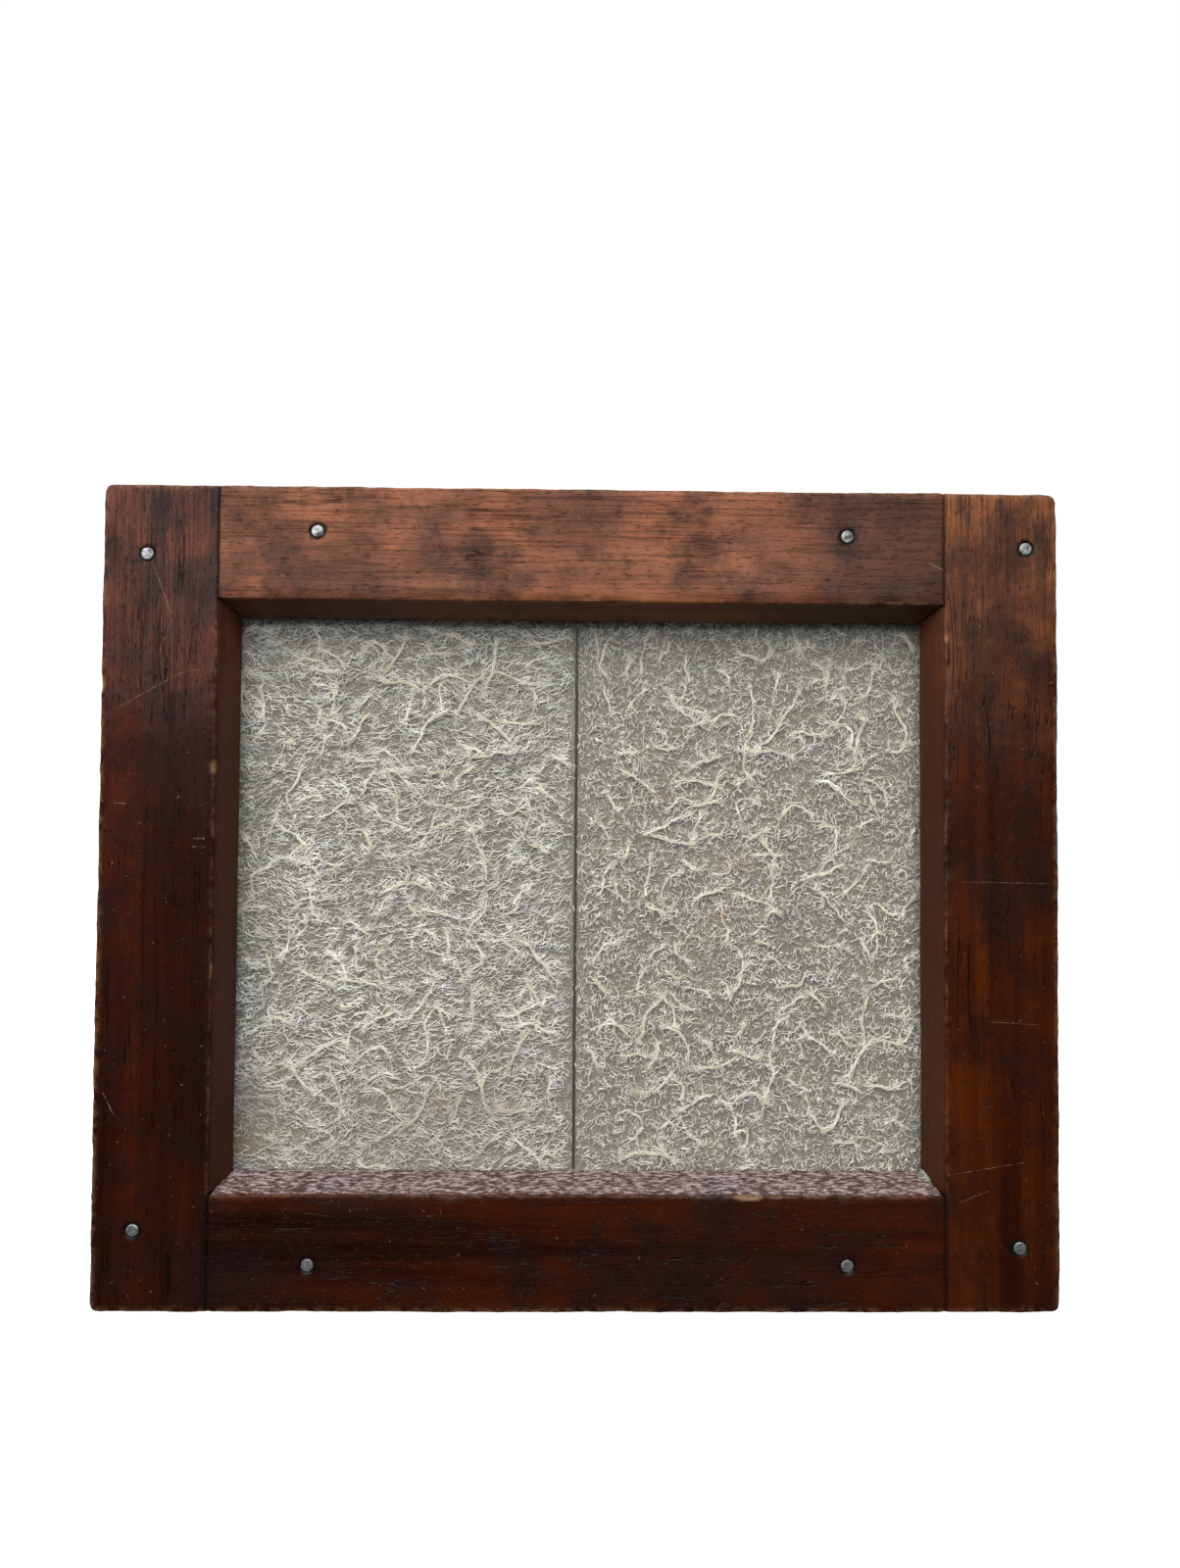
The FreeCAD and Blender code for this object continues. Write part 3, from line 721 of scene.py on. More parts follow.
# %% Aged metal
def aged_metal(name, bright, dull, tarnish, amount, smooth_share=0.32, pits=0.04, metallic=0.9):
    metal = Finish(name)
    cloudy = metal.between(metal.noise(420, detail=6, roughness=0.7), 0.36, 0.64)
    brushed = metal.noise(2600, metal.stretched((1.0, 1.0, 0.12)), detail=3)
    blots = metal.between(metal.noise(650, detail=6, roughness=0.72), 0.66 - 0.26 * amount, 0.74 - 0.2 * amount)
    colour = metal.blend(cloudy, dull, bright)
    colour = metal.blend(metal.between(brushed, 0.35, 0.7, 0.0, 0.35), colour, bright)
    colour = metal.blend(metal.times(blots, 0.85), colour, tarnish)
    rough = metal.between(cloudy, 0.0, 1.0, smooth_share + 0.2, smooth_share)
    rough = metal.maths("ADD", rough, metal.times(blots, 0.3), clamp=True)
    shine = metal.maths("SUBTRACT", metallic, metal.times(blots, metallic * 0.75), clamp=True)
    relief = metal.relief(brushed, 0.012 * MM)
    relief = metal.relief(blots, pits * MM, under=relief)
    return metal.finish(Base_Color=colour, Roughness=rough, Metallic=shine, Normal=relief)


RUST = (0.105, 0.040, 0.018)
metals = {
    "nail_steel": aged_metal("nail_steel_grey", (0.30, 0.31, 0.315), (0.13, 0.13, 0.13),
                             (0.040, 0.028, 0.022), 0.50, smooth_share=0.42),
    "catch_steel": aged_metal("catch_steel_dull", (0.36, 0.35, 0.33), (0.15, 0.135, 0.12), RUST, 0.75),
    "spring_steel": aged_metal("spring_steel_blue", (0.32, 0.335, 0.36), (0.10, 0.105, 0.12),
                               RUST, 0.50, smooth_share=0.26),
    "brass": aged_metal("brass_browned", (0.62, 0.42, 0.17), (0.30, 0.17, 0.065),
                        (0.075, 0.045, 0.025), 0.60, smooth_share=0.30),
    "pin_steel": aged_metal("pin_steel_grey", (0.42, 0.42, 0.41), (0.18, 0.17, 0.16), RUST, 0.40),
}
print("metals:", ", ".join(metals))

# %% [markdown]
# ## Nail heads, hammered and worn
#
# The nail heads were driven just below the face by hand, and no two sit or look alike. Remeshed fine and pushed
# about by a small cloud pattern, they get dented, slightly ragged heads. Rivets and brads are treated the same.

# %% Nails, rivets and brads
hammer_marks = lumps("hammer_marks", 0.8 * MM, depth=2)


def hammered(node, voxel, dent):
    piece = working_copy(node, f"{node}_hammered")
    add_modifier(piece, "REMESH", mode="VOXEL", voxel_size=voxel)
    add_modifier(piece, "SMOOTH", factor=0.5, iterations=1)
    push_about(piece, hammer_marks, dent)
    apply_modifiers(piece)
    smooth(piece, 50)
    return piece


def dress(piece, node, body, slot):
    """Gives a finished metal piece its material and its body, and hides the design's piece that it stands for."""
    piece.data.materials.append(metals[slot])
    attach(piece, body)
    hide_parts(node)


for node, voxel, slot in (("corner_nails", 0.13 * MM, "nail_steel"), ("catch_rivets", 0.13 * MM, "nail_steel"),
                          ("catch_brads", 0.14 * MM, "nail_steel")):
    piece = hammered(node, voxel, 0.16 * MM)
    dress(piece, node, "frame", slot)
    print(node, "triangles:", triangles(piece))
for side in ("left", "right"):
    piece = hammered(f"{side}_spring_rivet", 0.16 * MM, 0.18 * MM)
    dress(piece, f"{side}_spring_rivet", f"{side}_leaf", "nail_steel")

# %% [markdown]
# ## Sheet metal with its edges broken
#
# Catches, springs, washers and hinge plates are cut from sheet. Their shapes come from the design, and only
# their sharp edges are wrong: a file or a tumbling barrel has broken them. A narrow bevel on every sharp edge is
# exactly that, and it catches a line of light as the real edges do.

# %% Springs, catches and hinges
def edges_broken(node, width):
    piece = working_copy(node, f"{node}_filed")
    add_modifier(piece, "BEVEL", width=width, segments=2, limit_method="ANGLE", angle_limit=math.radians(38))
    apply_modifiers(piece)
    smooth(piece, 38)
    return piece


# node, body, metal, and how wide its edges are broken in mm
sheet_metal = [(f"{side}_{end}_catch", "frame", "catch_steel", 0.10)
               for side in ("left", "right") for end in ("upper", "lower")]
for side in ("left", "right"):
    sheet_metal += [(f"{side}_bow_spring", f"{side}_spring", "spring_steel", 0.12),
                    (f"{side}_spring_washer", f"{side}_leaf", "brass", 0.08),
                    (f"{side}_hinge_screws", f"{side}_leaf", "brass", 0.06),
                    (f"{side}_upper_hinge_plate", f"{side}_leaf", "brass", 0.08),
                    (f"{side}_lower_hinge_plate", f"{side}_leaf", "brass", 0.08)]
sheet_metal += [(f"{end}_hinge_pin", "hinge_pins", "pin_steel", 0.08) for end in ("upper", "lower")]
for node, body, slot, width in sheet_metal:
    dress(edges_broken(node, width * MM), node, body, slot)
print("sheet metal pieces:", len(sheet_metal))

# %% [markdown]
# ## Glass
#
# The glass is a thin clean pane, and its shape in the design is right, so it stays. From the front it should
# hardly show: a faint film of dust, and a reflection only where light strikes it flat.

# %% Glass finish
pane = Finish("thin_old_glass")
film = pane.between(pane.noise(55, detail=6, roughness=0.65), 0.4, 0.7, 0.02, 0.10)
pane.finish(Base_Color=(0.55, 0.62, 0.58), Roughness=film, Alpha=0.045, Specular_IOR_Level=0.5)
pane.material.surface_render_method = "BLENDED"
for slot in nodes["glass"].material_slots:
    slot.material = pane.material
if not nodes["glass"].material_slots:
    nodes["glass"].data.materials.append(pane.material)
print("glass slots:", len(nodes["glass"].material_slots))

# %% [markdown]
# ## Where the strands lie
#
# Rubbing has drawn the cloth's nap out into long thin strands, which wander across the frame like ripples and
# meet each other. They come first, as paths only, because both the ground and the nap rise a little under them.
# Each path is a walk with a drifting heading. The left leaf's nap is combed across, the right one's is crinkled.

# %% Strand paths
STRAND_STEPS = 13
# spread and curl: how far fibres turn from the leaf's direction, and wander on their way, in radians
# strands, size, lean, arch: how many there are, their length, their slope and their bend
# short, long: lengths of the under and the over fibres in mm; lock: width and height of a lock in mm
NAP = {
    "left": {"seed": 11, "spread": 0.42, "curl": 0.34, "strands": 175, "size": 1.05, "lean": 0.35, "arch": -0.25,
             "short": (1.2, 2.8), "long": (1.6, 3.8), "lock": (1.9, 0.85)},
    "right": {"seed": 23, "spread": 1.10, "curl": 0.62, "strands": 180, "size": 1.0, "lean": 0.08, "arch": -0.55,
              "short": (0.9, 2.0), "long": (1.0, 2.4), "lock": (1.15, 0.80)},
}


def walk(start, heading, length, bend, wander, steps, rng):
    """Paths over the cloth: (fibres, steps + 1) arrays of x and z."""
    count = len(length)
    drift = rng.normal(0, 1, (count, steps)).cumsum(axis=1) * wander[:, None]
    along = np.linspace(-0.5, 0.5, steps)
    angle = heading[:, None] + bend[:, None] * along[None, :] + drift
    stride = (length / steps)[:, None]
    x = np.hstack([np.zeros((count, 1)), np.cumsum(np.cos(angle) * stride, axis=1)])
    z = np.hstack([np.zeros((count, 1)), np.cumsum(np.sin(angle) * stride, axis=1)])
    return start[:, :1] + x - x.mean(axis=1, keepdims=True), start[:, 1:] + z - z.mean(axis=1, keepdims=True)


def inside_leaf(side, x, z, margin, at_split=None):
    """Which paths stay inside a leaf's cloth. The two leaves meet at the split, where the margin may differ."""
    low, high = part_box(f"{side}_felt")
    at_split = margin if at_split is None else at_split
    left, right = (margin, at_split) if side == "left" else (at_split, margin)
    return ((x.min(1) > low.x + left) & (x.max(1) < high.x - right)
            & (z.min(1) > low.z + margin) & (z.max(1) < high.z - margin))


def staggered_places(low, high, count, rng):
    """Staggered rows with some play, so that tufts neither line up nor crowd."""
    width, height = high.x - low.x, high.z - low.z
    rows = round(math.sqrt(count * height / width * 1.7))
    per_row = math.ceil(count / rows)
    across, up = width / per_row, height / rows
    places = np.array([(low.x + across * (slot + 0.5 + 0.5 * (row % 2 - 0.5)), low.z + up * (row + 0.5))
                       for row in range(rows) for slot in range(per_row)])
    return places + rng.normal(0, 1, places.shape) * np.array([across, up]) * 0.33


def strand_paths(side):
    nap = NAP[side]
    rng = np.random.default_rng(nap["seed"] + 5)
    places = staggered_places(*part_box(f"{side}_felt"), nap["strands"], rng)
    count = len(places)
    heading = nap["lean"] + rng.normal(0, 0.60, count)
    upright = rng.random(count) < 0.22
    heading[upright] += rng.choice((-1.1, 1.1), upright.sum())
    length = (4.5 + 9.0 * rng.random(count) ** 1.3) * nap["size"] * MM
    bend = nap["arch"] + rng.normal(0, 0.9, count)
    x, z = walk(places, heading, length, bend, np.full(count, 0.27), STRAND_STEPS, rng)
    kept = inside_leaf(side, x, z, 0.45 * MM)
    bulk = rng.uniform(0.05, 1.0, count) ** 1.5
    return x[kept], z[kept], bulk[kept]


strand_lines = {side: strand_paths(side) for side in ("left", "right")}
print("strands:", {side: len(lines[0]) for side, lines in strand_lines.items()})

# %% [markdown]
# ## The cloth ground
#
# Each leaf is lined with one piece of thick cotton cloth, stretched over its board. A grid is the right start,
# because all of its relief faces one way. It is made too tall, pushed about by cloud patterns, and then pressed
# down to its true height, which turns round lumps into low ridges across the frame. Under each strand it swells:
# gently above, and more steeply below, where the strand hangs over. Its rim is drawn back to the board.

# %% Lay the ground
GROUND_STEP = 0.36 * MM
RIDGE_STRETCH = 2.1
GROUND_Y = FRONT + 11.5 * MM    # mean level of the ground, between the glass and the board
GROUND_FRONT = FRONT + 10.45 * MM    # no ridge of the ground comes further forward
CLOTH_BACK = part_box("left_felt")[1].y
low_ridges = lumps("low_ridges", 4.6 * MM, depth=2)
small_lumps = lumps("small_lumps", 1.3 * MM, depth=2)


def swell(points, lines, most):
    """How far the ground rises at each point under the strands."""
    rise = np.zeros(len(points))
    for x, z, bulk in zip(*lines):
        order = np.argsort(x)
        near = np.flatnonzero((np.abs(points[:, 0] - x.mean()) < 8 * MM) & (np.abs(points[:, 2] - z.mean()) < 8 * MM))
        own = points[near]
        above = own[:, 2] - np.interp(own[:, 0], x[order], z[order])
        fall = np.where(above > 0, above / (1.5 * MM), above / (0.55 * MM))
        half = (x.max() - x.min()) / 2 + 0.6 * MM
        ends = np.clip(1 - np.abs((own[:, 0] - (x.max() + x.min()) / 2) / half) ** 3, 0, 1)
        rise[near] = np.maximum(rise[near], most * (0.3 + 0.7 * bulk) * np.exp(-fall ** 2) * ends)
    return rise


def close_behind():
    """With all of a grid selected: draws its rim back to the board and caps it."""
    bpy.ops.mesh.select_non_manifold(extend=False)
    bpy.ops.mesh.extrude_edges_move(TRANSFORM_OT_translate={"value": (0, 0.6 * MM, 0)})
    bpy.ops.mesh.edge_face_add()


def lay_ground(side):
    low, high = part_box(f"{side}_felt")
    width, height = high.x - low.x, high.z - low.z
    columns, rows = round(width / GROUND_STEP), round(height / GROUND_STEP)
    clear_bench()
    bpy.ops.mesh.primitive_grid_add(x_subdivisions=columns, y_subdivisions=rows, size=1,
                                    location=((low.x + high.x) / 2, GROUND_Y, (low.z + high.z) / 2),
                                    rotation=(math.pi / 2, 0, 0))
    ground = bpy.context.object
    ground.name = f"{side}_cloth_ground"
    ground.scale = (width, height, 1)
    put_in_place(ground)
    points = points_of(ground)
    points[:, 2] *= RIDGE_STRETCH
    set_points(ground, points)
    push_about(ground, low_ridges, 0.95 * MM)
    push_about(ground, small_lumps, 0.50 * MM)
    apply_modifiers(ground)
    points = points_of(ground)
    points[:, 2] /= RIDGE_STRETCH
    points[:, 1] -= swell(points, strand_lines[side], 0.62 * MM)
    points[:, 1] = np.clip(points[:, 1], GROUND_FRONT, CLOTH_BACK - 0.2 * MM)
    set_points(ground, points)
    heights = points[:, 1].reshape(rows + 1, columns + 1).copy()
    in_edit_mode(ground, close_behind)
    points = points_of(ground)
    rim = (rows + 1) * (columns + 1)
    points[rim:, 1] = CLOTH_BACK
    set_points(ground, points)
    smooth(ground, 60)
    return ground, heights, low, high


grounds = {side: lay_ground(side) for side in ("left", "right")}
for side, (ground, heights, _, _) in grounds.items():
    print(side, "ground triangles:", triangles(ground), "level from the front, mm:",
          round((heights.min() - FRONT) / MM, 2), "to", round((heights.max() - FRONT) / MM, 2))

# %% [markdown]
# ## Stains in the cloth
#
# The cloth is not one colour. Rust, handling and damp have left a few spots and rosy patches, and one low corner
# is worn down to its threads. They belong to the cloth, so the ground and every fibre over it ask the same
# question of the same list: how stained is this place?

# %% Stains
# (across, up), (half width, half height) in millimetres, and strength
RUST_SPOTS = [((12.7, 87.7), (2.6, 0.55), 1.0), ((14.6, 88.3), (1.2, 0.4), 0.7), ((12.6, 55.3), (0.6, 0.5), 0.9),
              ((-18.0, 83.2), (0.8, 0.6), 0.7), ((24.0, 75.8), (0.9, 0.5), 0.6), ((-36.5, 69.0), (0.8, 0.7), 0.4),
              ((16.0, 76.5), (0.7, 0.5), 0.4), ((-55.6, 28.4), (1.3, 0.8), 1.0), ((-13.0, 34.5), (1.0, 0.7), 0.5)]
ROSY_PATCHES = [((27.5, 75.5), (4.5, 1.6), 0.8), ((27.8, 66.6), (4.4, 1.4), 1.0), ((29.0, 61.5), (3.5, 1.2), 0.6),
                ((-17.0, 107.5), (3.6, 2.6), 0.55), ((-36.0, 67.0), (4.5, 2.6), 0.45),
                ((-27.0, 33.0), (9.0, 3.0), 0.35)]
GREY_PATCHES = [((-20.0, 32.0), (14.0, 3.2), 0.9), ((-57.0, 30.0), (5.0, 7.0), 1.0), ((-53.0, 57.0), (5.0, 2.0), 0.5),
                ((-34.0, 27.0), (30.0, 11.0), 0.55),
                ((45.0, 26.0), (8.0, 2.0), 0.4)]
WORN_CORNER = [((-60.0, 26.0), (5.2, 4.8), 1.0)]


def patches_at(points, patches):
    """How strongly a list of soft-edged patches marks each point."""
    marks = np.zeros(len(points))
    for (x, z), (half_x, half_z), strength in patches:
        away = ((points[:, 0] / MM - x) / half_x) ** 2 + ((points[:, 2] / MM - z) / half_z) ** 2
        marks = np.maximum(marks, strength * np.exp(-away))
    return marks


def paint_stains(piece):
    """Stores the stains, and how low each point lies, for a painted shade that darkens and browns the cloth deep in the
    nap.
    """
    points = points_of(piece)
    paint_points(piece, "low", (points[:, 1] - (FRONT + 10.9 * MM)) / (0.8 * MM))
    for name, patches in (("rust", RUST_SPOTS), ("rosy", ROSY_PATCHES), ("grey", GREY_PATCHES), ("bare", WORN_CORNER)):
        paint_points(piece, name, patches_at(points, patches))


for ground, *_ in grounds.values():
    paint_stains(ground)
print("patches:", len(RUST_SPOTS + ROSY_PATCHES + GREY_PATCHES))

# %% [markdown]
# ## Spinning fibres
#
# What the eye sees is the nap: thousands of soft fibres, each a few millimetres long and about as thick as a
# sewing thread's strand. Hair particles can't be handed on as a mesh, and a bump pattern casts no shadows. So
# each fibre is a real three-sided thread with pointed ends. All of a layer's fibres are worked out together: a
# walk over the ground with a drifting heading, lifted off it in an arch.

# %% Fibre helpers
SIDES = 3


def level_at(side, x, z):
    """The ground's level under some places, read from its heights."""
    _, heights, low, high = grounds[side]
    rows, columns = heights.shape
    column = np.clip((x - low.x) / (high.x - low.x) * (columns - 1), 0, columns - 1.001)
    row = np.clip((z - low.z) / (high.z - low.z) * (rows - 1), 0, rows - 1.001)
    left, under = column.astype(int), row.astype(int)
    part_x, part_z = column - left, row - under
    lower = heights[under, left] * (1 - part_x) + heights[under, left + 1] * part_x
    upper = heights[under + 1, left] * (1 - part_x) + heights[under + 1, left + 1] * part_x
    return lower * (1 - part_z) + upper * part_z


def threads(name, x, y, z, radius, tint):
    """One mesh of three-sided pointed threads. x, y and z are (threads, stations), radius the same."""
    count, stations = x.shape
    path = np.stack([x, y, z], axis=2)
    run = np.gradient(path, axis=1)
    run /= np.linalg.norm(run, axis=2, keepdims=True)
    out = np.broadcast_to(np.array([0.0, -1.0, 0.0]), run.shape)
    across = np.cross(run, out)
    across /= np.maximum(np.linalg.norm(across, axis=2, keepdims=True), 1e-9)
    out = np.cross(across, run)
    rings = []
    for corner in range(SIDES):
        turn = 2 * math.pi * corner / SIDES
        rings.append(path + radius[..., None] * (out * math.cos(turn) + across * math.sin(turn)))
    rings = np.stack(rings, axis=2)[:, 1:-1].reshape(count, -1, 3)
    points = np.concatenate([path[:, :1], rings, path[:, -1:]], axis=1)
    each = points.shape[1]
    last = each - 1
    faces = []
    for corner in range(SIDES):
        beside = (corner + 1) % SIDES
        faces.append((0, 1 + beside, 1 + corner))
        faces.append((last, last - SIDES + corner, last - SIDES + beside))
        for ring in range(stations - 3):
            a, b = 1 + ring * SIDES + corner, 1 + ring * SIDES + beside
            faces.append((a, b + SIDES, a + SIDES))
            faces.append((a, b, b + SIDES))
    table = np.array(faces)[None] + (np.arange(count) * each)[:, None, None]
    mesh = bpy.data.meshes.new(name)
    mesh.vertices.add(count * each)
    mesh.vertices.foreach_set("co", points.ravel())
    corners = table.reshape(-1)
    mesh.loops.add(len(corners))
    mesh.loops.foreach_set("vertex_index", corners)
    mesh.polygons.add(len(corners) // 3)
    mesh.polygons.foreach_set("loop_start", np.arange(0, len(corners), 3))
    mesh.update(calc_edges=True)
    mesh.validate()
    mesh.shade_smooth()
    piece = bpy.data.objects.new(name, mesh)
    bpy.context.collection.objects.link(piece)
    paint_points(piece, "tint", np.repeat(tint, each))
    paint_stains(piece)
    return piece


GLASS_BACK = glass_high.y
NAP_FRONT = GLASS_BACK + 0.16 * MM    # no fibre's middle comes nearer to the glass than this
print("nap must stay behind", round((NAP_FRONT - FRONT) / MM, 2), "mm from the front")

# %% [markdown]
# ## Layers of nap
#
# Close over the ground lies a dense felt of short crinkled fibres, coloured darker as painted shade. A second,
# whiter layer stands a little higher and casts its shadows into the first. Its fibres gather in locks, as combed or
# rubbed cotton does, with hollows between them, which a smooth noise over the cloth places. Over both go the strands,
# each a bundle of fibres that follow one path and twist about it, and some single stray fibres.

# %% Felted layers
def taper(stations, blunt=4):
    """How thick a thread is along its length, from 0 at its ends to 1."""
    return 1 - np.abs(np.linspace(-1, 1, stations)) ** blunt


def gathered(side, places):
    """0 in the hollows of the nap, 1 where its fibres gather in locks."""
    across, up = NAP[side]["lock"]
    lock = [noise.noise((x / (across * MM), NAP[side]["seed"], z / (up * MM))) for x, z in places]
    return np.clip(0.5 + 1.5 * np.array(lock), 0, 1)


RIM_MARGIN = 0.12 * MM
SPLIT_MARGIN = -0.21 * MM    # at the split the fibres reach over a little


def felted_layer(side, name, count, steps, length, radius, lift, seed, curl=1.0, hollow=0.0):
    """hollow is the share of the fibres that is missing between the locks."""
    nap = NAP[side]
    rng = np.random.default_rng(nap["seed"] + seed)
    _, _, low, high = grounds[side]
    start = rng.uniform((low.x, low.z), (high.x, high.z), (int(count * (1.12 + hollow)), 2))
    many = len(start)
    lock = gathered(side, start)
    swirl = 0.35 * np.sin(start[:, 0] / (5 * MM) + 2.0 * np.sin(start[:, 1] / (6 * MM)) + nap["seed"])
    heading = nap["lean"] * 0.3 + swirl + rng.normal(0, nap["spread"], many)
    heading += rng.integers(0, 2, many) * math.pi
    reach = rng.uniform(*length, many) * MM
    x, z = walk(start, heading, reach, rng.normal(0, 1.3, many), np.full(many, nap["curl"] * curl), steps, rng)
    bare = patches_at(np.column_stack([start[:, 0], start[:, 0], start[:, 1]]), WORN_CORNER)
    missing = np.maximum(bare * 0.92, hollow * (1 - lock))
    inside = inside_leaf(side, x, z, RIM_MARGIN, at_split=SPLIT_MARGIN)
    kept = np.flatnonzero(inside & (rng.random(many) > missing))[:count]
    x, z = x[kept], z[kept]
    rise = rng.uniform(*lift, len(kept))[:, None] * (0.6 + 0.6 * lock[kept, None]) * MM
    arch = (0.35 + 0.65 * np.sin(np.linspace(0, math.pi, steps + 1)))[None] * rise
    wave = rng.normal(0, 0.05, x.shape) * MM
    thick = rng.uniform(*radius, len(kept))[:, None] * MM * taper(steps + 1)[None]
    y = np.maximum(level_at(side, x, z) - arch - wave - 0.04 * MM, NAP_FRONT)
    return threads(name, x, y, z, thick, rng.random(len(kept)))


STRAY_LENGTH = (2.5, 7.0)
nap_pieces = {"left": [], "right": []}
for side, layers in nap_pieces.items():
    nap = NAP[side]
    layers.append(felted_layer(side, f"{side}_under_nap", count=12500, steps=3, length=nap["short"],
                               radius=(0.065, 0.110), lift=(0.0, 0.14), seed=1))
    layers.append(felted_layer(side, f"{side}_over_nap", count=12500, steps=3, length=nap["long"],
                               radius=(0.065, 0.105), lift=(0.22, 0.55), seed=2, hollow=0.85))
    layers.append(felted_layer(side, f"{side}_stray_nap", count=650, steps=9, length=STRAY_LENGTH,
                               radius=(0.075, 0.120), lift=(0.25, 0.55), seed=3, curl=0.6))
    print(side, "nap triangles:", [triangles(piece) for piece in layers])

# %% Strands
STRAND_THREADS = 9


def strands(side):
    rng = np.random.default_rng(NAP[side]["seed"] + 9)
    x, z, bulk = strand_lines[side]
    along = np.linspace(0, 1, STRAND_STEPS + 1)
    hump = np.sin(math.pi * along)
    girth = (0.10 + 0.17 * bulk)[:, None] * MM * (0.5 + 0.5 * hump ** 0.6)[None]
    spread_x = np.repeat(x, STRAND_THREADS, axis=0)
    spread_z = np.repeat(z, STRAND_THREADS, axis=0)
    many = len(spread_x)
    turn = rng.uniform(0, 2 * math.pi, many)[:, None] + rng.normal(0, 4.0, many)[:, None] * along[None]
    out = rng.uniform(0.35, 1.0, many)[:, None] * np.repeat(girth, STRAND_THREADS, axis=0)
    run_x, run_z = np.gradient(spread_x, axis=1), np.gradient(spread_z, axis=1)
    stride = np.hypot(run_x, run_z)
    loose = rng.random(many)[:, None] < 0.65
    fray = np.where(loose, rng.normal(0, 1.3, (many, 1)) * MM * np.abs(2 * along - 1)[None] ** 2.5, 0)
    aside = out * np.cos(turn) + rng.normal(0, 0.09, spread_x.shape) * MM + fray
    spread_x = spread_x - run_z / stride * aside
    spread_z = spread_z + run_x / stride * aside
    rise = (0.22 + 0.22 * bulk)[:, None] * MM * (0.3 + 0.7 * hump[None] ** 0.6)
    centre = level_at(side, x, z) - rise + 0.08 * MM * np.sin(along * 14)[None]
    y = np.repeat(centre, STRAND_THREADS, axis=0) - out * np.sin(turn) * 0.8
    y = np.clip(y, NAP_FRONT, GROUND_Y + 0.3 * MM)
    thick = rng.uniform(0.060, 0.105, many)[:, None] * MM * taper(STRAND_STEPS + 1, blunt=6)[None]
    return threads(f"{side}_strands", spread_x, y, spread_z, thick, rng.random(many))


for side in ("left", "right"):
    nap_pieces[side].append(strands(side))
    print(side, "strand triangles:", triangles(nap_pieces[side][-1]))

# %% [markdown]
# ## Cotton
#
# Old cotton flannel is off-white with a little yellow and grey in it, quite matt, and it glows slightly where
# light skims the fibres, which a low sheen gives. Each fibre has its own tint, and the stains that were painted
# on the points are mixed over it. Where the nap is gone, the weave of the ground shows as a fine rib.

# %% Cotton finish
def napped_cotton(name, dim, bright, weave):
    cotton = Finish(name)
    tint = cotton.painted("tint")
    cloudy = cotton.between(cotton.noise(110, detail=4), 0.35, 0.68)
    colour = cotton.blend(tint, dim, bright)
    colour = cotton.blend(cotton.times(cloudy, 0.28), colour, (0.56, 0.49, 0.38))
    # painted shade: the lower a point lies in the nap, the darker and browner it is painted
    colour = cotton.blend(cotton.times(cotton.painted("low"), 0.75), colour, (0.22, 0.19, 0.135))
    mottled = cotton.between(cotton.noise(520, detail=3), 0.36, 0.66)
    colour = cotton.blend(cotton.times(cotton.painted("grey"), 0.55), colour, (0.30, 0.25, 0.18))
    rosy = cotton.times(cotton.times(cotton.painted("rosy"), mottled), 0.7)
    colour = cotton.blend(rosy, colour, (0.42, 0.25, 0.16))
    rusty = cotton.times(cotton.times(cotton.painted("rust"), mottled), 1.0, clamp=True)
    colour = cotton.blend(rusty, colour, (0.19, 0.10, 0.045))
    sockets = {"Roughness": 0.92, "Sheen_Weight": 0.40, "Sheen_Roughness": 0.5, "Specular_IOR_Level": 0.15}
    if weave:
        split = cotton.add("ShaderNodeSeparateXYZ", {0: cotton.place})
        warp = cotton.maths("SINE", cotton.times(split.outputs[0], 2 * math.pi / (0.55 * MM)))
        weft = cotton.maths("SINE", cotton.times(split.outputs[2], 2 * math.pi / (0.62 * MM)))
        rib = cotton.times(warp, weft)
        rib = cotton.maths("ADD", rib, cotton.times(cotton.noise(1800, detail=3), 1.6))
        brown = cotton.blend(cotton.between(rib, 0.2, 1.5), (0.10, 0.065, 0.035), (0.42, 0.33, 0.21))
        colour = cotton.blend(cotton.painted("bare"), colour, brown)
        sockets["Normal"] = cotton.relief(rib, 0.10 * MM)
    else:
        fuzz = cotton.noise(5200, detail=2)
        sockets["Normal"] = cotton.relief(fuzz, 0.03 * MM)
    return cotton.finish(Base_Color=colour, **sockets)


# painted shade: the ground and the under nap are coloured darker than the over nap, for the shade deep in the cloth
ground_cotton = napped_cotton("cotton_ground", (0.15, 0.125, 0.085), (0.24, 0.21, 0.155), weave=True)
under_cotton = napped_cotton("cotton_under", (0.20, 0.175, 0.13), (0.80, 0.77, 0.68), weave=False)
over_cotton = napped_cotton("cotton_over", (0.90, 0.875, 0.79), (1.0, 0.99, 0.95), weave=False)
strand_cotton = napped_cotton("cotton_strands", (0.63, 0.55, 0.40), (0.95, 0.895, 0.755), weave=False)
for side, (ground, _, low, high) in grounds.items():
    under, over, stray, strand = nap_pieces[side]
    for piece, cotton in ((ground, ground_cotton), (under, under_cotton), (over, over_cotton), (stray, strand_cotton),
                          (strand, strand_cotton)):
        piece.data.materials.append(cotton)
        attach(piece, f"{side}_leaf")
    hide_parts(f"{side}_felt")
print("cloth is laid")

# %% [markdown]
# ## Lint in a corner
#
# A wisp of grey-green lint has caught in the lower right corner of the lip. It is a few dozen of the same
# pointed threads, curled up close over the sloped wood.

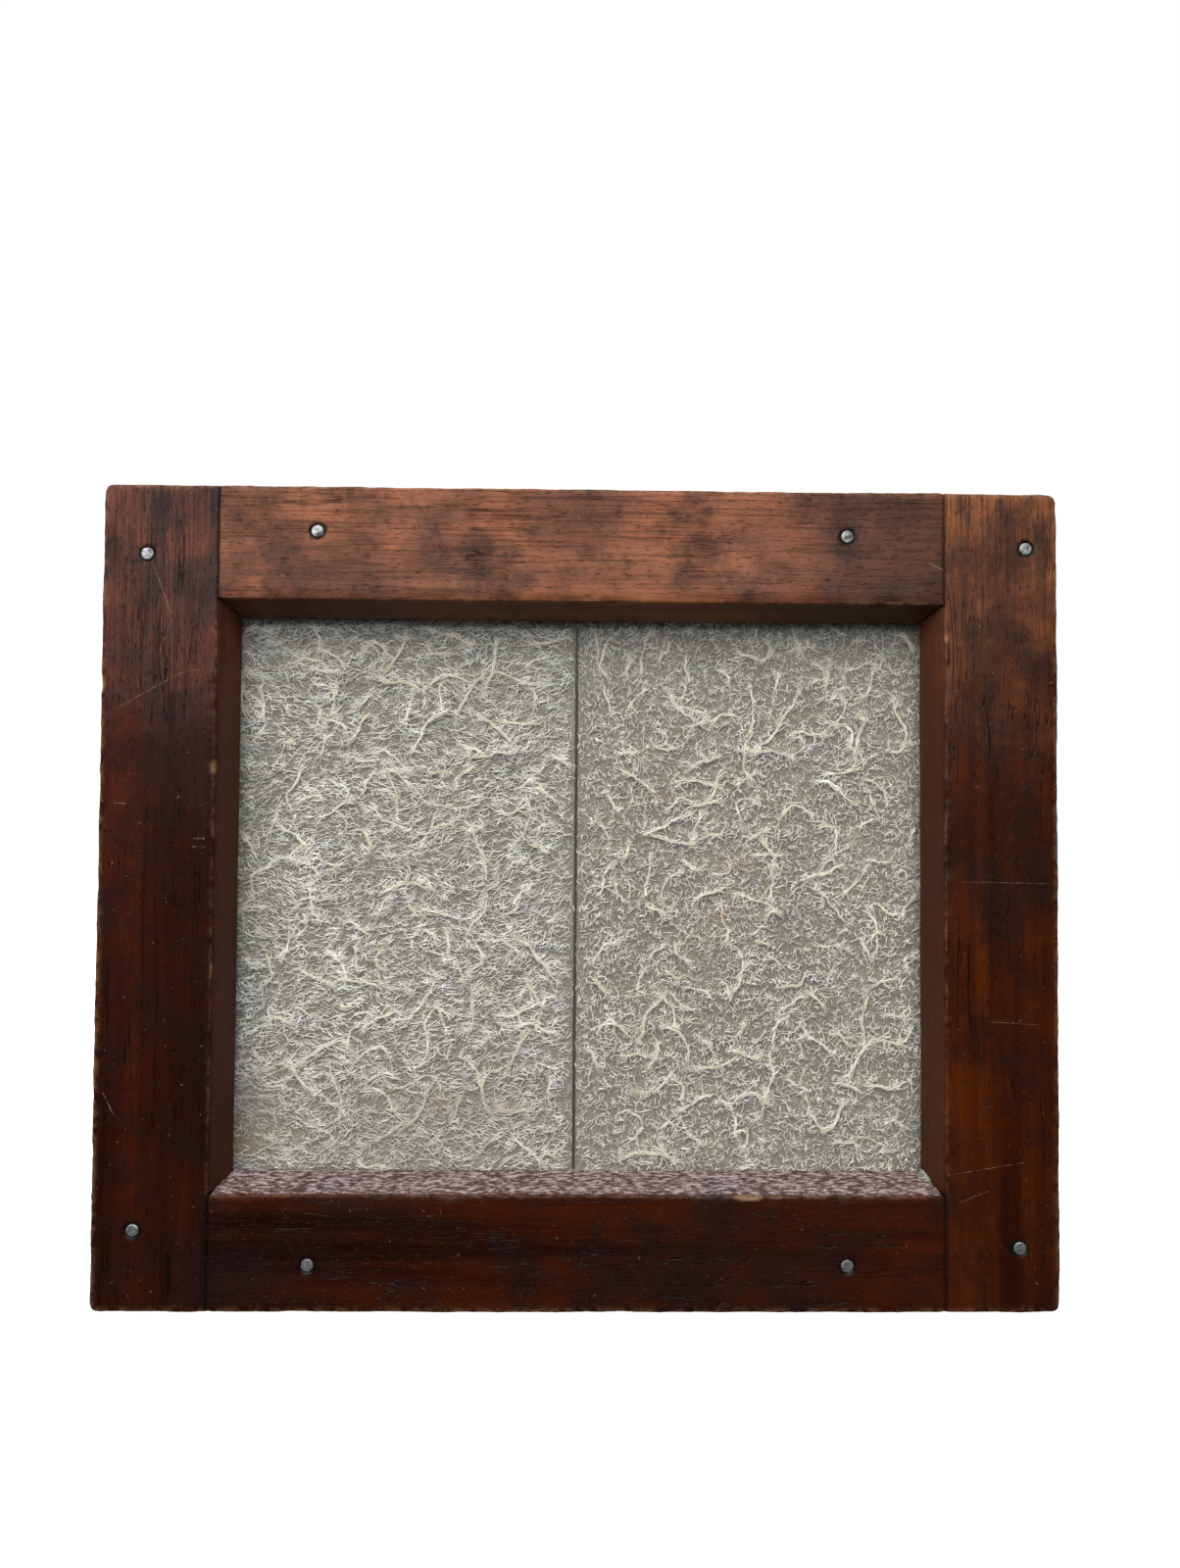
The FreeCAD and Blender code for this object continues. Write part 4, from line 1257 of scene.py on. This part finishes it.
# %% Lint
rng = np.random.default_rng(7)
many = 46
middle = np.column_stack([rng.normal(61.0, 0.45, many), rng.normal(5.2, 0.9, many)]) * MM
across, deep = walk(middle, rng.uniform(0, 6.28, many), rng.uniform(0.8, 2.6, many) * MM, rng.normal(0, 2.5, many),
                    np.full(many, 0.5), 6, rng)
deep = np.clip(deep, 1.2 * MM, 7.4 * MM)
across = np.minimum(across, WINDOW_X - 0.12 * MM - deep * LIP_SLOPE / LIP_DEPTH)
over = rng.uniform(0.12, 0.55, (many, 1)) * MM * np.sin(np.linspace(0.5, 2.6, 7))[None]
upward = WINDOW_LOW + deep * LIP_SLOPE / LIP_DEPTH + over + 0.1 * MM
thick = rng.uniform(0.035, 0.07, (many, 1)) * MM * taper(7)[None]
lint = threads("corner_lint", across, FRONT + deep, upward, thick, rng.random(many))
lint.data.materials.append(napped_cotton("lint_fibres", (0.20, 0.24, 0.19), (0.46, 0.50, 0.44), weave=False))
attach(lint, "frame")
print("lint triangles:", triangles(lint))

# %% [markdown]
# ## Floor and light
#
# The frame stands on a plain pale floor before a white backdrop of air. One large soft lamp hangs above and in
# front, as a window would: it rakes down over the cloth, lights the lower lip, and leaves the underside of the
# upper lip dark. A weaker one behind shows the boards and springs from the back. The air gives a little light from
# above and next to none from below, and the floor is kept from lighting the wood, so that the stain stays deep.

# %% Studio
clear_bench()
bpy.ops.mesh.primitive_plane_add(size=3.0, location=(0, 0, 0))
floor = bpy.context.object
floor.name = "floor"
paper = Finish("studio_paper")
fibres = paper.noise(900, detail=3)
paper.finish(Base_Color=(0.86, 0.86, 0.86), Roughness=0.9, Emission_Color=(1.0, 1.0, 1.0), Emission_Strength=0.80,
             Normal=paper.relief(fibres, 0.05 * MM))
floor.data.materials.append(paper.material)
floor.visible_diffuse = False
floor.visible_glossy = False

world = bpy.data.worlds.new("studio_air")
world.use_nodes = True
air = world.node_tree
seen = air.nodes.new("ShaderNodeLightPath").outputs["Is Camera Ray"]
upwards = air.nodes.new("ShaderNodeSeparateXYZ")
air.links.new(air.nodes.new("ShaderNodeTexCoord").outputs["Generated"], upwards.inputs[0])
glow = air.nodes.new("ShaderNodeMapRange")
air.links.new(upwards.outputs[2], glow.inputs["Value"])
for key, value in (("From Min", -0.15), ("From Max", 0.75), ("To Min", 0.02), ("To Max", 0.35)):
    glow.inputs[key].default_value = value
strongest = air.nodes.new("ShaderNodeMath")
strongest.operation = "MAXIMUM"
air.links.new(seen, strongest.inputs[0])
air.links.new(glow.outputs[0], strongest.inputs[1])
air.nodes["Background"].inputs[0].default_value = (1, 1, 1, 1)
air.links.new(strongest.outputs[0], air.nodes["Background"].inputs[1])
bpy.context.scene.world = world

# %% Lamps
def soft_lamp(name, place, aim, energy):
    bpy.ops.object.light_add(type="AREA", location=place)
    lamp = bpy.context.object
    lamp.name = name
    lamp.data.shape = "RECTANGLE"
    lamp.data.size = 0.8
    lamp.data.size_y = 0.6
    lamp.data.energy = energy
    lamp.rotation_euler = (Vector(aim) - lamp.location).to_track_quat("-Z", "Y").to_euler()
    print(name, "watts:", energy)


soft_lamp("front_lamp", (-0.10, FRONT - 0.47, 0.43), (0, 0, 0.075), 7.8)
soft_lamp("back_lamp", (0.25, BACK + 0.60, 0.55), (0, 0, 0.07), 6.8)

# %% [markdown]
# ## The camera
#
# It stands close, about a hand's length from the frame and a little above its middle, and looks almost
# straight at it with a wide lens. That is why the undersides of the window show more at one edge than at the other.

# %% Camera
CAMERA_PLACE = (-1.44 * MM, FRONT - 194.24 * MM, MIDDLE + 13.33 * MM)
CAMERA_TURN = Matrix(((0.99986, -0.00752, -0.01486), (-0.01508, -0.03039, -0.99942), (0.00707, 0.99951, -0.03050)))
bpy.ops.object.camera_add(location=CAMERA_PLACE)
camera = bpy.context.object
camera.rotation_euler = CAMERA_TURN.to_euler()
camera.data.lens = 26
camera.data.sensor_width = 36
camera.data.clip_start = 0.005
bpy.context.scene.camera = camera
bpy.context.scene.view_settings.view_transform = "Standard"
